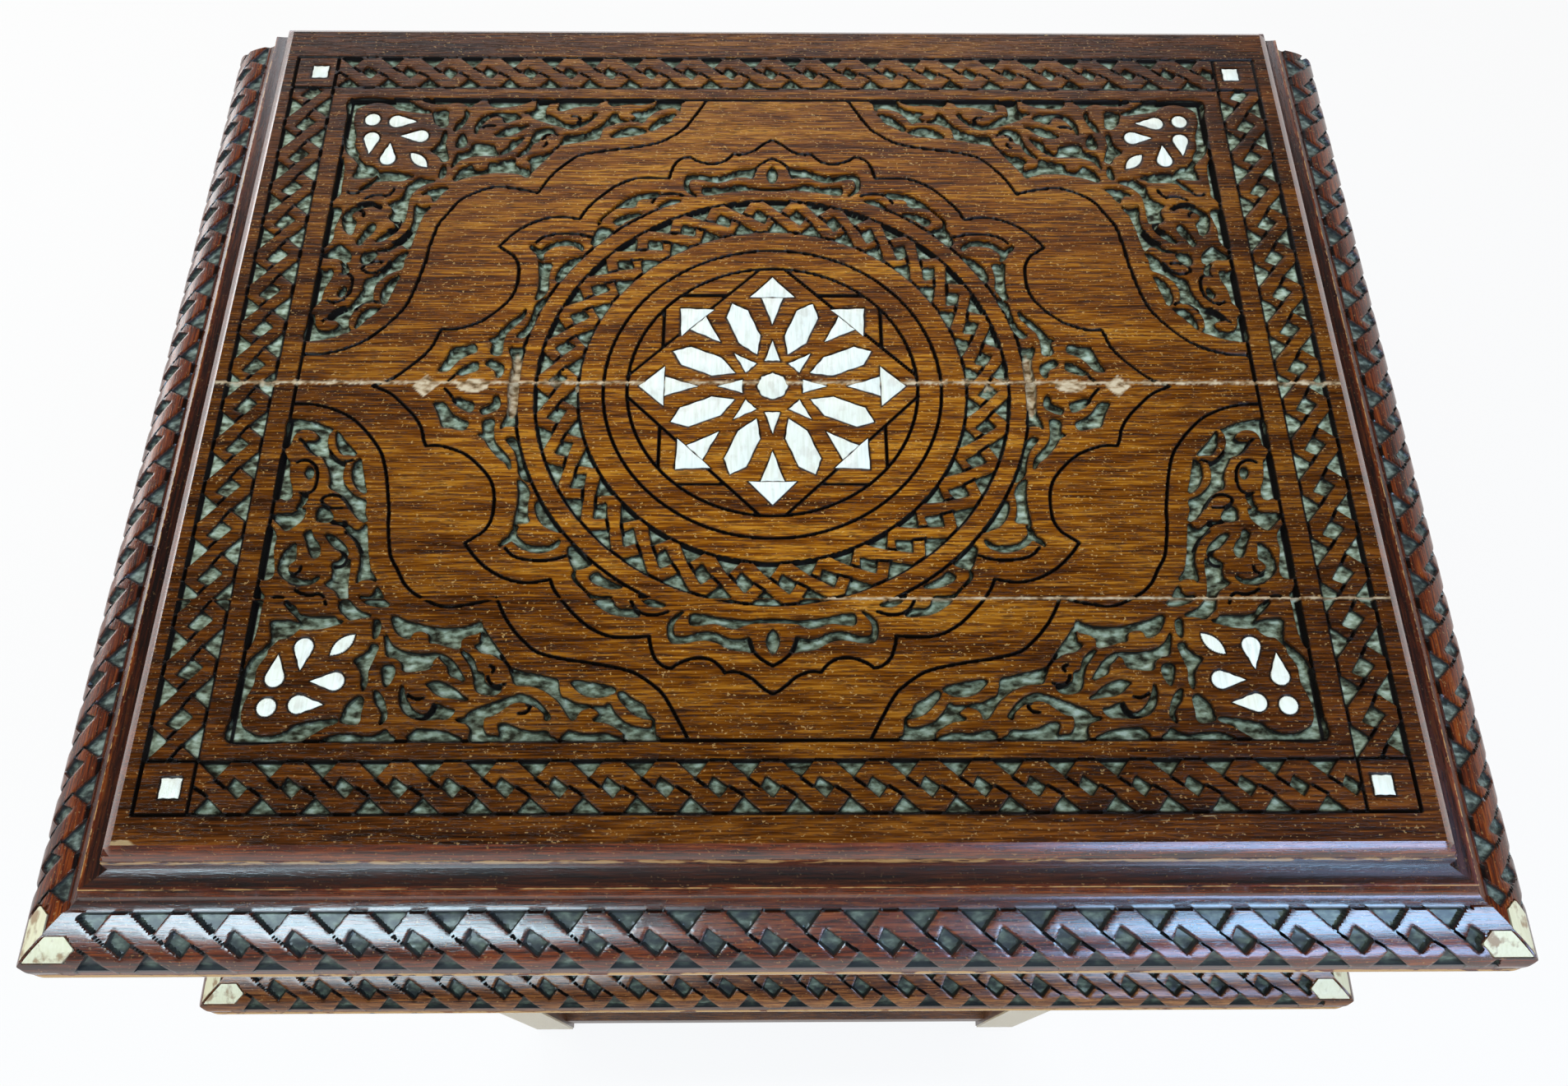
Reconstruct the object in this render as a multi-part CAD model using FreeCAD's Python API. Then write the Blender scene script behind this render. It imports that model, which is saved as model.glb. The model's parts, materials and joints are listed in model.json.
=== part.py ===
import FreeCAD, Part
import math
import os

from FreeCAD import Vector

# A carved and bone-inlaid walnut box on a four-legged stand.
# Millimetres, +Z up, floor at Z = 0, front towards -Y.

os.makedirs("parts", exist_ok=True)

# Overall sizes
LID_WIDTH = 406.0
TOTAL_HEIGHT = 650.0
TOTAL_DEPTH = 330.0
BOX_UNDERSIDE = 507.5

# Moulding: outward reach and levels below the lid's top face
REACH = 29.5
LID_HEIGHT = 27.0
LEDGE_DROP = 9.6
CREST_OUT = 10.9
BAND_TOP_OUT = 15.2
BAND_TOP_DROP = 15.0
BAND_FOOT_OUT = 28.9
LIP_THICKNESS = 1.6
BAND_BULGE = 3.0
CREST_FACE = 2.5
QUIRK = 1.2
RAIL_UNDER_PANEL = 26.0

# Carved panel: three edge-glued boards with a thumb-moulded edge
PANEL_THICKNESS = 14.0
THUMB_OUT = 4.1
THUMB_DROP = 8.0
THUMB_MIDDLE = (0.72, 0.30)
BACK_LEDGE = 8.0
SEAM_BACK_Y = 5.5
SEAM_FRONT_Y = -66.7
BATTEN_X = 70.0
BATTEN_WIDTH = 28.0
BATTEN_THICKNESS = 10.0

# Box
WALL = 12.0
BOTTOM_THICKNESS = 8.0
LID_GAP = 0.4

# Stand
LEG = 26.0
VENEER = 1.2
VENEER_FOOT_GAP = 4.0
APRON_HEIGHT = 45.0
APRON_THICKNESS = 14.0
APRON_SETBACK = 4.0
STRETCHER_BOTTOM = 18.0
STRETCHER_HEIGHT = 22.0
STRETCHER_THICKNESS = 16.0
STRETCHER_SETBACK = 3.0
TENON = 9.0
TENON_SHOULDER = 3.0
SHELF_THICKNESS = 8.0
SHELF_REBATE = 5.0
SHELF_STEP = 1.5
BLOCK_LEG = 60.0
BLOCK_HEIGHT = 20.0
BLOCK_SCREW_IN = 18.0

# Hinges: stop butt hinges let into the wall's top edge and the lid
HINGE_X = 95.0
HINGE_LENGTH = 50.0
LEAF_WIDTH = 10.0
LEAF_THICKNESS = 1.5
LEAF_GAP = 0.3
KNUCKLE_RADIUS = 2.6
KNUCKLE_OFFSET = 0.9
KNUCKLE_RELIEF = 0.4
KNUCKLE_GAP = 0.3
PIN_RADIUS = 1.0
PIN_CLEARANCE = 0.05
SCREW_HEAD_RADIUS = 1.9
SCREW_SHANK_RADIUS = 0.9
SCREW_LENGTH = 9.0
SCREW_SPACING = 18.0
BLOCK_SCREW_RADIUS = 1.75
BLOCK_SCREW_HEAD = 3.4
BLOCK_SCREW_BITE = 6.0

# Bone inlay: places and sizes on the panel
BONE = 1.5
STAR_X = -2.4
STAR_Y = 4.2
OCTAGON_RADIUS = 4.9
DART = [(9.2, 2.5), (17.0, 0.0)]
HEXAGON = [(12.4, 0.0), (18.6, 3.7), (29.2, 3.7), (33.6, 0.0)]
POINT = [(33.3, 7.3), (41.3, 0.0)]
TAIL = [(22.8, 0.0), (33.3, 3.6)]
SQUARE_SIDE = 5.6
SQUARE_X = 160.5
SQUARE_Y = 127.4
FIELD_X = -0.6
FIELD_Y = 6.8
PALMETTE_X = 139.2
PALMETTE_Y = 105.3
ROUND_RADIUS = 2.8
PETAL_RADIUS = 2.75
OUTER_PETAL = [(15.5, 0.8), (8.4, 0.8)]
INNER_PETAL = [(10.4, 7.4), (17.4, 7.4)]
LEAF_TIPS = [(14.8, 14.8), (21.2, 21.2)]
LEAF_HALF = 2.0
# Pencil-shaped bone beside a mitre: (along the lip, in from the lip)
PENCIL = [(3.4, 2.8), (9.6, 9.0), (14.6, 9.0), (17.2, 5.9), (13.8, 2.8)]

# Derived places
HALF_LID = LID_WIDTH / 2
HALF_PANEL = HALF_LID - REACH
LIP_Y = -TOTAL_DEPTH / 2
KNUCKLE_Y = TOTAL_DEPTH / 2 - KNUCKLE_RADIUS
BACK_Y = KNUCKLE_Y - KNUCKLE_OFFSET
PANEL_FRONT = LIP_Y + REACH
PANEL_BACK = BACK_Y - BACK_LEDGE
LID_UNDERSIDE = TOTAL_HEIGHT - LID_HEIGHT
WALL_TOP = LID_UNDERSIDE - LID_GAP
HINGE_Z = LID_UNDERSIDE - LID_GAP / 2
PANEL_UNDERSIDE = TOTAL_HEIGHT - PANEL_THICKNESS
RAIL_WIDTH = REACH + RAIL_UNDER_PANEL
WALL_BOTTOM = BOX_UNDERSIDE + BOTTOM_THICKNESS
STRETCHER_TOP = STRETCHER_BOTTOM + STRETCHER_HEIGHT
LEFT = -1
RIGHT = 1


def box(x0, x1, y0, y1, z0, z1):
    """Upright block between two opposite corners."""
    return Part.makeBox(x1 - x0, y1 - y0, z1 - z0, Vector(x0, y0, z0))


def prism(points, z0, z1):
    """Plan outline carried straight up from z0 to z1."""
    corners = [Vector(x, y, z0) for x, y in points]
    face = Part.Face(Part.makePolygon(corners + corners[:1]))
    return face.extrude(Vector(0, 0, z1 - z0))


def fuse(shapes):
    """One solid from touching or overlapping solids."""
    return shapes[0].multiFuse(shapes[1:]).removeSplitter()


def save(name, *solids):
    """Write one named piece, or a group of like pieces, as a STEP file."""
    shape = solids[0] if len(solids) == 1 else Part.makeCompound(list(solids))
    shape.exportStep("parts/" + name + ".step")


def section_face(edges):
    """Closed face from edges that follow one another."""
    return Part.Face(Part.Wire(edges))


def at(out, drop):
    """Point of the moulding's section, outward towards -Y and down from the lid's top."""
    return Vector(0, -out, -drop)


BAND_TOP = at(BAND_TOP_OUT, BAND_TOP_DROP)
BAND_FOOT = at(BAND_FOOT_OUT, LID_HEIGHT - LIP_THICKNESS)
BAND_CHORD = BAND_FOOT - BAND_TOP
BAND_NORMAL = Vector(0, BAND_CHORD.z, -BAND_CHORD.y).normalize()
BAND_MIDDLE = (BAND_TOP + BAND_FOOT) * 0.5 + BAND_NORMAL * BAND_BULGE
BAND_CURVE = Part.Arc(BAND_TOP, BAND_MIDDLE, BAND_FOOT).toShape()


def moulding_section(inner, top_inner):
    """Moulding from lip to ledge, closed by the points of its hidden side."""
    path = [BAND_TOP, at(BAND_TOP_OUT - QUIRK, BAND_TOP_DROP), at(CREST_OUT, LEDGE_DROP + CREST_FACE)]
    path += [at(CREST_OUT, LEDGE_DROP), at(top_inner, LEDGE_DROP)]
    path += inner
    path += [at(REACH, LID_HEIGHT), at(REACH, LID_HEIGHT - LIP_THICKNESS), BAND_FOOT]
    lines = [Part.LineSegment(a, b).toShape() for a, b in zip(path, path[1:])]
    return section_face(lines + [BAND_CURVE])


def bone_shell():
    """Skin of the convex band, as deep as a bone slip."""
    centre = BAND_CURVE.Curve.Center
    radius = BAND_CURVE.Curve.Radius
    scale = (radius - BONE) / radius
    inner = [centre + (p - centre) * scale for p in (BAND_FOOT, BAND_MIDDLE, BAND_TOP)]
    edges = [BAND_CURVE, Part.LineSegment(BAND_FOOT, inner[0]).toShape()]
    edges += [Part.Arc(*inner).toShape(), Part.LineSegment(inner[2], BAND_TOP).toShape()]
    return section_face(edges)


def run_along(face, side, top):
    """Section carried along the front (side 0) or one side of the lid, from the given top level."""
    bar = face.copy()
    bar.translate(Vector(-LID_WIDTH, 0, 0))
    bar = bar.extrude(Vector(2 * LID_WIDTH, 0, 0))
    bar.rotate(Vector(0, 0, 0), Vector(0, 0, 1), 90 * side)
    bar.translate(Vector(side * HALF_PANEL, 0 if side else PANEL_FRONT, top))
    return bar


def mitre_plan(side, width):
    """Plan outline of a rail: mitred at the front corners, square at the back."""
    if side == 0:
        return [(-HALF_LID, LIP_Y), (HALF_LID, LIP_Y),
                (HALF_LID - width, LIP_Y + width), (width - HALF_LID, LIP_Y + width)]
    outer = side * HALF_LID
    inner = side * (HALF_LID - width)
    return [(outer, LIP_Y), (inner, LIP_Y + width), (inner, BACK_Y), (outer, BACK_Y)]


def rail(face, side, width, top):
    """One mitred length of moulding."""
    limits = prism(mitre_plan(side, width), top - LID_HEIGHT - 1, top + 1)
    return run_along(face, side, top).common(limits)


def pencil_bones(side, top):
    """The two bone slips that meet at one front mitre: on the front band, then on the side band."""
    front = [(side * (HALF_LID - along), LIP_Y + inward) for along, inward in PENCIL]
    flank = [(side * (HALF_LID - inward), LIP_Y + along) for along, inward in PENCIL]
    shell = bone_shell()
    return [run_along(shell, 0, top).common(prism(front, top - LID_HEIGHT, top)),
            run_along(shell, side, top).common(prism(flank, top - LID_HEIGHT, top))]


# Bone pieces of the panel, flush with its top face
def slip(points):
    """Flat bone slip with the given plan outline."""
    return prism(points, TOTAL_HEIGHT - BONE, TOTAL_HEIGHT)


def star_slips(profile, phase):
    """Eight slips round the star; profile is half an outline as (radius, half width)."""
    outline = profile + [(r, -w) for r, w in reversed(profile) if w > 0]
    slips = []
    for k in range(8):
        angle = math.radians(45 * k + phase)
        c, s = math.cos(angle), math.sin(angle)
        slips.append(slip([(STAR_X + r * c - w * s, STAR_Y + r * s + w * c) for r, w in outline]))
    return slips


def petal(tip, centre):
    """Teardrop slip: a round end with two straight sides to a tip."""
    way = tip - centre
    reach = way.Length
    swing = math.acos(PETAL_RADIUS / reach)
    lean = math.atan2(way.y, way.x)
    sides = [centre + Vector(math.cos(lean + a), math.sin(lean + a), 0) * PETAL_RADIUS
             for a in (swing, math.pi, -swing)]
    edges = [Part.Arc(*sides).toShape(), Part.LineSegment(sides[2], tip).toShape()]
    edges.append(Part.LineSegment(tip, sides[0]).toShape())
    return section_face(edges).extrude(Vector(0, 0, BONE))


def leaf(start, end):
    """Pointed leaf slip between two tips, with two equal bowed sides."""
    way = end - start
    bow = Vector(-way.y, way.x, 0).normalize() * LEAF_HALF
    middle = (start + end) * 0.5
    edges = [Part.Arc(start, middle + bow, end).toShape(), Part.Arc(end, middle - bow, start).toShape()]
    return section_face(edges).extrude(Vector(0, 0, BONE))


CORNERS = [(sx, sy) for sy in (LEFT, RIGHT) for sx in (LEFT, RIGHT)]


def palmette_point(sx, sy, inward_x, inward_y):
    """Point of a corner palmette, measured inwards from its round bone."""
    return Vector(FIELD_X + sx * (PALMETTE_X - inward_x), FIELD_Y + sy * (PALMETTE_Y - inward_y),
                  TOTAL_HEIGHT - BONE)


centre_slip = [slip([(STAR_X + OCTAGON_RADIUS * math.cos(math.radians(45 * k + 22.5)),
                      STAR_Y + OCTAGON_RADIUS * math.sin(math.radians(45 * k + 22.5))) for k in range(8)])]
rounds, petals, leaves, squares = [], [], [], []
for sx, sy in CORNERS:
    rounds.append(Part.makeCylinder(ROUND_RADIUS, BONE, palmette_point(sx, sy, 0, 0)))
    for tip, bulb in (OUTER_PETAL, INNER_PETAL):
        petals.append(petal(palmette_point(sx, sy, *tip), palmette_point(sx, sy, *bulb)))
        petals.append(petal(palmette_point(sx, sy, *tip[::-1]), palmette_point(sx, sy, *bulb[::-1])))
    leaves.append(leaf(*[palmette_point(sx, sy, *tip) for tip in LEAF_TIPS]))
    x = FIELD_X + sx * SQUARE_X
    y = FIELD_Y + sy * SQUARE_Y
    half = SQUARE_SIDE / 2
    squares.append(box(x - half, x + half, y - half, y + half, TOTAL_HEIGHT - BONE, TOTAL_HEIGHT))

panel_bones = {
    "bone_star_centre": centre_slip,
    "bone_star_darts": star_slips(DART, 0),
    "bone_star_hexagons": star_slips(HEXAGON, 22.5),
    "bone_star_points": star_slips(POINT, 0),
    "bone_star_tails": star_slips(TAIL, 0),
    "bone_corner_squares": squares,
    "bone_palmette_rounds": rounds,
    "bone_palmette_petals": petals,
    "bone_palmette_leaves": leaves,
}
for name, slips in panel_bones.items():
    save(name, *slips)


# Panel boards
def thumb_section(low, high):
    """Cross-section of the panel from low to high, both edges rounded to a thumb."""
    def edge(place, sign):
        top = Vector(place, 0, TOTAL_HEIGHT)
        out, drop = THUMB_MIDDLE
        middle = Vector(place + sign * THUMB_OUT * out, 0, TOTAL_HEIGHT - THUMB_DROP * drop)
        foot = Vector(place + sign * THUMB_OUT, 0, TOTAL_HEIGHT - THUMB_DROP)
        return top, middle, foot

    a = edge(low, LEFT)
    b = edge(high, RIGHT)
    base = [Vector(low - THUMB_OUT, 0, PANEL_UNDERSIDE), Vector(high + THUMB_OUT, 0, PANEL_UNDERSIDE)]
    edges = [Part.Arc(a[2], a[1], a[0]).toShape(), Part.LineSegment(a[0], b[0]).toShape()]
    edges += [Part.Arc(*b).toShape(), Part.LineSegment(b[2], base[1]).toShape()]
    edges += [Part.LineSegment(base[1], base[0]).toShape(), Part.LineSegment(base[0], a[2]).toShape()]
    return section_face(edges)


across = thumb_section(-HALF_PANEL, HALF_PANEL)
across.translate(Vector(0, -TOTAL_DEPTH, 0))
across = across.extrude(Vector(0, 2 * TOTAL_DEPTH, 0))
along = thumb_section(PANEL_FRONT, PANEL_BACK)
along.rotate(Vector(0, 0, 0), Vector(0, 0, 1), 90)
along.translate(Vector(-LID_WIDTH, 0, 0))
along = along.extrude(Vector(2 * LID_WIDTH, 0, 0))
panel = across.common(along)
panel = panel.cut(Part.makeCompound([s for slips in panel_bones.values() for s in slips]))

board_limits = {
    "lid_board_front": (LIP_Y, SEAM_FRONT_Y),
    "lid_board_middle": (SEAM_FRONT_Y, SEAM_BACK_Y),
    "lid_board_back": (SEAM_BACK_Y, BACK_Y),
}
for name, (y0, y1) in board_limits.items():
    save(name, panel.common(box(-HALF_LID, HALF_LID, y0, y1, PANEL_UNDERSIDE - 1, TOTAL_HEIGHT + 1)))

# Lid rails: a mitred frame whose rebate carries the panel
rebate = [at(THUMB_OUT, PANEL_THICKNESS), at(-RAIL_UNDER_PANEL, PANEL_THICKNESS),
          at(-RAIL_UNDER_PANEL, LID_HEIGHT)]
lid_section = moulding_section(rebate, THUMB_OUT)
lid_bones = {side: pencil_bones(side, TOTAL_HEIGHT) for side in (LEFT, RIGHT)}
save("lid_bone_pencils", *(lid_bones[LEFT] + lid_bones[RIGHT]))
lid_bone_cut = Part.makeCompound(lid_bones[LEFT] + lid_bones[RIGHT])


def hinge_block(x, radius, gap):
    """Cylinder of the knuckle at one hinge, with room round it."""
    start = Vector(x - HINGE_LENGTH / 2 - gap, KNUCKLE_Y, HINGE_Z)
    return Part.makeCylinder(radius, HINGE_LENGTH + 2 * gap, start, Vector(1, 0, 0))


def leaf_plate(x, side):
    """Flat leaf of a hinge: side +1 lies against the lid, -1 in the wall's top edge."""
    near = HINGE_Z + side * LEAF_GAP / 2
    far = near + side * LEAF_THICKNESS
    return box(x - HINGE_LENGTH / 2, x + HINGE_LENGTH / 2, BACK_Y - LEAF_WIDTH, KNUCKLE_Y,
               min(near, far), max(near, far))


def hinge_screws(x, side):
    """Three countersunk screws of one leaf."""
    screws = []
    for k in (-1, 0, 1):
        face = HINGE_Z + side * LEAF_GAP / 2
        place = Vector(x + k * SCREW_SPACING, BACK_Y - LEAF_WIDTH / 2, face)
        way = Vector(0, 0, side)
        head = Part.makeCone(SCREW_HEAD_RADIUS, SCREW_SHANK_RADIUS, LEAF_THICKNESS, place, way)
        shank = Part.makeCylinder(SCREW_SHANK_RADIUS, SCREW_LENGTH, place, way)
        screws.append(fuse([head, shank]))
    return screws


def hinge_leaf(x, side):
    """Leaf with its knuckles: the lid's leaf has the middle one, the box's leaf the outer two."""
    third = HINGE_LENGTH / 3
    middle = (x - third / 2 + KNUCKLE_GAP / 2, third - KNUCKLE_GAP)
    outer = [(x - HINGE_LENGTH / 2, third - KNUCKLE_GAP / 2),
             (x + third / 2 + KNUCKLE_GAP / 2, third - KNUCKLE_GAP / 2)]
    kept = [middle] if side == RIGHT else outer
    cleared = outer if side == RIGHT else [middle]
    axis = Vector(1, 0, 0)
    knuckles = [Part.makeCylinder(KNUCKLE_RADIUS, length, Vector(start, KNUCKLE_Y, HINGE_Z), axis)
                for start, length in kept]
    body = fuse([leaf_plate(x, side)] + knuckles)
    gaps = [Part.makeCylinder(KNUCKLE_RADIUS + KNUCKLE_GAP, length + 2 * KNUCKLE_GAP,
                              Vector(start - KNUCKLE_GAP, KNUCKLE_Y, HINGE_Z), axis)
            for start, length in cleared]
    bore = hinge_block(x, PIN_RADIUS + PIN_CLEARANCE, KNUCKLE_RADIUS)
    return body.cut(Part.makeCompound(gaps)).cut(bore).cut(Part.makeCompound(hinge_screws(x, side)))


hinge_places = {"left": -HINGE_X, "right": HINGE_X}
lid_mortise = []
wall_mortise = []
for name, x in hinge_places.items():
    relief = hinge_block(x, KNUCKLE_RADIUS + KNUCKLE_RELIEF, KNUCKLE_RELIEF)
    lid_mortise += [leaf_plate(x, RIGHT), relief] + hinge_screws(x, RIGHT)
    wall_mortise += [leaf_plate(x, LEFT), relief] + hinge_screws(x, LEFT)
    save("hinge_lid_leaf_" + name, hinge_leaf(x, RIGHT))
    save("hinge_box_leaf_" + name, hinge_leaf(x, LEFT))
    save("hinge_pin_" + name, hinge_block(x, PIN_RADIUS, 0))
save("hinge_lid_screws", *[s for x in hinge_places.values() for s in hinge_screws(x, RIGHT)])
save("hinge_box_screws", *[s for x in hinge_places.values() for s in hinge_screws(x, LEFT)])

side_names = {LEFT: "left", 0: "front", RIGHT: "right"}
for side, name in side_names.items():
    save("lid_rail_" + name, rail(lid_section, side, RAIL_WIDTH, TOTAL_HEIGHT).cut(lid_bone_cut))

inner_x = HALF_LID - RAIL_WIDTH
back_rail = box(-inner_x, inner_x, PANEL_BACK - RAIL_UNDER_PANEL, BACK_Y, LID_UNDERSIDE, PANEL_UNDERSIDE)
back_ledge = box(-inner_x, inner_x, PANEL_BACK + THUMB_OUT, BACK_Y, LID_UNDERSIDE, TOTAL_HEIGHT - LEDGE_DROP)
save("lid_rail_back", fuse([back_rail, back_ledge]).cut(Part.makeCompound(lid_mortise)))

for side in (LEFT, RIGHT):
    low = side * BATTEN_X - BATTEN_WIDTH / 2
    batten = box(low, low + BATTEN_WIDTH, LIP_Y + RAIL_WIDTH, PANEL_BACK - RAIL_UNDER_PANEL,
                 PANEL_UNDERSIDE - BATTEN_THICKNESS, PANEL_UNDERSIDE)
    save("lid_batten_" + side_names[side], batten)

# Box walls and bottom
save("box_wall_front", box(-HALF_PANEL, HALF_PANEL, PANEL_FRONT, PANEL_FRONT + WALL, WALL_BOTTOM, WALL_TOP))
back_wall = box(-HALF_PANEL, HALF_PANEL, BACK_Y - WALL, BACK_Y, WALL_BOTTOM, WALL_TOP)
save("box_wall_back", back_wall.cut(Part.makeCompound(wall_mortise)))
for side in (LEFT, RIGHT):
    faces = sorted([side * HALF_PANEL, side * (HALF_PANEL - WALL)])
    save("box_wall_" + side_names[side],
         box(*faces, PANEL_FRONT + WALL, BACK_Y - WALL, WALL_BOTTOM, WALL_TOP))

# Base moulding round the front and the sides of the box
base_top = BOX_UNDERSIDE + LID_HEIGHT
base_section = moulding_section([at(0, LID_HEIGHT)], 0)
base_bones = {side: pencil_bones(side, base_top) for side in (LEFT, RIGHT)}
save("base_bone_pencils", *(base_bones[LEFT] + base_bones[RIGHT]))
base_bone_cut = Part.makeCompound(base_bones[LEFT] + base_bones[RIGHT])
for side, name in side_names.items():
    save("base_rail_" + name, rail(base_section, side, REACH, base_top).cut(base_bone_cut))


# Stand: legs at the box's corners, tenoned aprons and stretchers, an inset shelf
def leg_block(sx, sy, skin):
    """Square post at one corner; skin is taken off its two outward faces."""
    outer_x = sx * (HALF_PANEL - skin)
    inner = sx * (HALF_PANEL - LEG)
    outer_y = PANEL_FRONT + skin if sy == LEFT else BACK_Y - skin
    inner_y = PANEL_FRONT + LEG if sy == LEFT else BACK_Y - LEG
    return box(*sorted([outer_x, inner]), *sorted([outer_y, inner_y]), 0, BOX_UNDERSIDE)


def bar_between(side, setback, thickness, z0, z1):
    """Tenoned bar between two legs: side 0 front, 2 back, -1 left, +1 right."""
    t = TENON_SHOULDER
    if side in (0, 2):
        outer = PANEL_FRONT + setback if side == 0 else BACK_Y - setback
        inner = outer + thickness if side == 0 else outer - thickness
        y0, y1 = sorted([outer, inner])
        reach = HALF_PANEL - LEG
        body = box(-reach, reach, y0, y1, z0, z1)
        tenon = box(-reach - TENON, reach + TENON, y0 + t, y1 - t, z0 + t, z1 - t)
        return fuse([body, tenon])
    x0, x1 = sorted([side * (HALF_PANEL - setback), side * (HALF_PANEL - setback - thickness)])
    y0 = PANEL_FRONT + LEG
    y1 = BACK_Y - LEG
    body = box(x0, x1, y0, y1, z0, z1)
    tenon = box(x0 + t, x1 - t, y0 - TENON, y1 + TENON, z0 + t, z1 - t)
    return fuse([body, tenon])


bar_names = {0: "front", 2: "back", LEFT: "left", RIGHT: "right"}
APRON_BOTTOM = BOX_UNDERSIDE - APRON_HEIGHT
aprons = {side: bar_between(side, APRON_SETBACK, APRON_THICKNESS, APRON_BOTTOM, BOX_UNDERSIDE)
          for side in bar_names}
stretchers = {side: bar_between(side, STRETCHER_SETBACK, STRETCHER_THICKNESS, STRETCHER_BOTTOM, STRETCHER_TOP)
              for side in bar_names}
shelf_edge = STRETCHER_SETBACK + STRETCHER_THICKNESS - SHELF_REBATE
shelf_top = STRETCHER_TOP - SHELF_STEP
shelf_plan = (shelf_edge - HALF_PANEL, HALF_PANEL - shelf_edge, PANEL_FRONT + shelf_edge, BACK_Y - shelf_edge)
rebates = box(*shelf_plan, shelf_top - SHELF_THICKNESS, STRETCHER_TOP)
rebates = rebates.cut(Part.makeCompound([leg_block(sx, sy, 0) for sx, sy in CORNERS]))
save("shelf", rebates.common(box(*shelf_plan, 0, shelf_top)))
for side, name in bar_names.items():
    save("apron_" + name, aprons[side])
    save("stretcher_" + name, stretchers[side].cut(rebates))

bars = Part.makeCompound(list(aprons.values()) + list(stretchers.values()))
corner_names = {(LEFT, LEFT): "front_left", (RIGHT, LEFT): "front_right",
                (LEFT, RIGHT): "back_left", (RIGHT, RIGHT): "back_right"}
for (sx, sy), name in corner_names.items():
    save("leg_" + name, leg_block(sx, sy, VENEER).cut(bars))
    skin = leg_block(sx, sy, 0).cut(leg_block(sx, sy, VENEER))
    skin = skin.common(box(-HALF_LID, HALF_LID, LIP_Y, BACK_Y, VENEER_FOOT_GAP, BOX_UNDERSIDE))
    save("leg_mosaic_" + name, skin)

# Glue blocks in the apron corners, screwed up into the box's bottom
blocks, block_screws = [], []
for sx, sy in CORNERS:
    apron_inside = APRON_SETBACK + APRON_THICKNESS
    x = sx * (HALF_PANEL - apron_inside)
    y = PANEL_FRONT + apron_inside if sy == LEFT else BACK_Y - apron_inside
    block = prism([(x, y), (x - sx * BLOCK_LEG, y), (x, y - sy * BLOCK_LEG)],
                  BOX_UNDERSIDE - BLOCK_HEIGHT, BOX_UNDERSIDE)
    place = Vector(x - sx * BLOCK_SCREW_IN, y - sy * BLOCK_SCREW_IN, BOX_UNDERSIDE - BLOCK_HEIGHT)
    head = Part.makeCone(BLOCK_SCREW_HEAD, BLOCK_SCREW_RADIUS, BLOCK_SCREW_HEAD - BLOCK_SCREW_RADIUS, place)
    shank = Part.makeCylinder(BLOCK_SCREW_RADIUS, BLOCK_HEIGHT + BLOCK_SCREW_BITE, place)
    screw = fuse([head, shank])
    blocks.append(block.cut(leg_block(sx, sy, 0)).cut(screw))
    block_screws.append(screw)
save("corner_blocks", *blocks)
save("corner_block_screws", *block_screws)
bottom = box(-HALF_PANEL, HALF_PANEL, PANEL_FRONT, BACK_Y, BOX_UNDERSIDE, WALL_BOTTOM)
save("box_bottom", bottom.cut(Part.makeCompound(block_screws)))
print("lid", LID_WIDTH, "x", BACK_Y - LIP_Y, "height", TOTAL_HEIGHT, "hinge axis", KNUCKLE_Y, HINGE_Z)
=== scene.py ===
# %% [markdown]
# # A carved and bone-inlaid walnut box on a stand
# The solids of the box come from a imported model: boards, moulding rails, bone slips, walls, legs and hinges.
# Here they get their looks: the carving is worked out as relief, and every surface gets its finish.
# All sizes below are millimetres. A mesh turns them to metres only when it is made.

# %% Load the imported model
import json
import math

import bpy
import numpy as np
from mathutils import Matrix, Vector


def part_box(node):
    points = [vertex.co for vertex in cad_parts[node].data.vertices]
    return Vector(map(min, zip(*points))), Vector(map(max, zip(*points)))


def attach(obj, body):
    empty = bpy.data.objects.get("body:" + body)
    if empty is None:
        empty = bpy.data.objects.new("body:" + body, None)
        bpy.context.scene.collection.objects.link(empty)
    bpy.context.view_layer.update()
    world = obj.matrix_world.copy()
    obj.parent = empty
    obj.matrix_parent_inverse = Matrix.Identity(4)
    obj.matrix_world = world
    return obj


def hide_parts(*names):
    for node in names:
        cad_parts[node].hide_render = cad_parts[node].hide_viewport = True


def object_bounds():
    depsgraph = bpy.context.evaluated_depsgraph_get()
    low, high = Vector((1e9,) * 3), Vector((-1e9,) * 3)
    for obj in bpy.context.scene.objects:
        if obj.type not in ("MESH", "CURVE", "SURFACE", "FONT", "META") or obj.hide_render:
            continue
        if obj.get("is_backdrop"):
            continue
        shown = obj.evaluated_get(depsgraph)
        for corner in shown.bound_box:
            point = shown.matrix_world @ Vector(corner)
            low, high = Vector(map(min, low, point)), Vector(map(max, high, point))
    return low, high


MM = 0.001
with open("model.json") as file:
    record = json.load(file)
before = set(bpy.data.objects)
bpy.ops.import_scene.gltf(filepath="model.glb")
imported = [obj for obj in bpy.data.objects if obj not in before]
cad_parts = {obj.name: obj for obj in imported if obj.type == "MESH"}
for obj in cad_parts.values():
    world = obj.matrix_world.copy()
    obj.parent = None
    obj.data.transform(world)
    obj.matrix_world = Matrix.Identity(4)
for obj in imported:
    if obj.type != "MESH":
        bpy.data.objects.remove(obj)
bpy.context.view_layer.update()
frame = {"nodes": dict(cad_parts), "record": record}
nodes = frame["nodes"]


def extent(node):
    """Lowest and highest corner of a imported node, in millimetres."""
    low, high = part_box(node)
    return np.array(low) / MM, np.array(high) / MM


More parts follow.
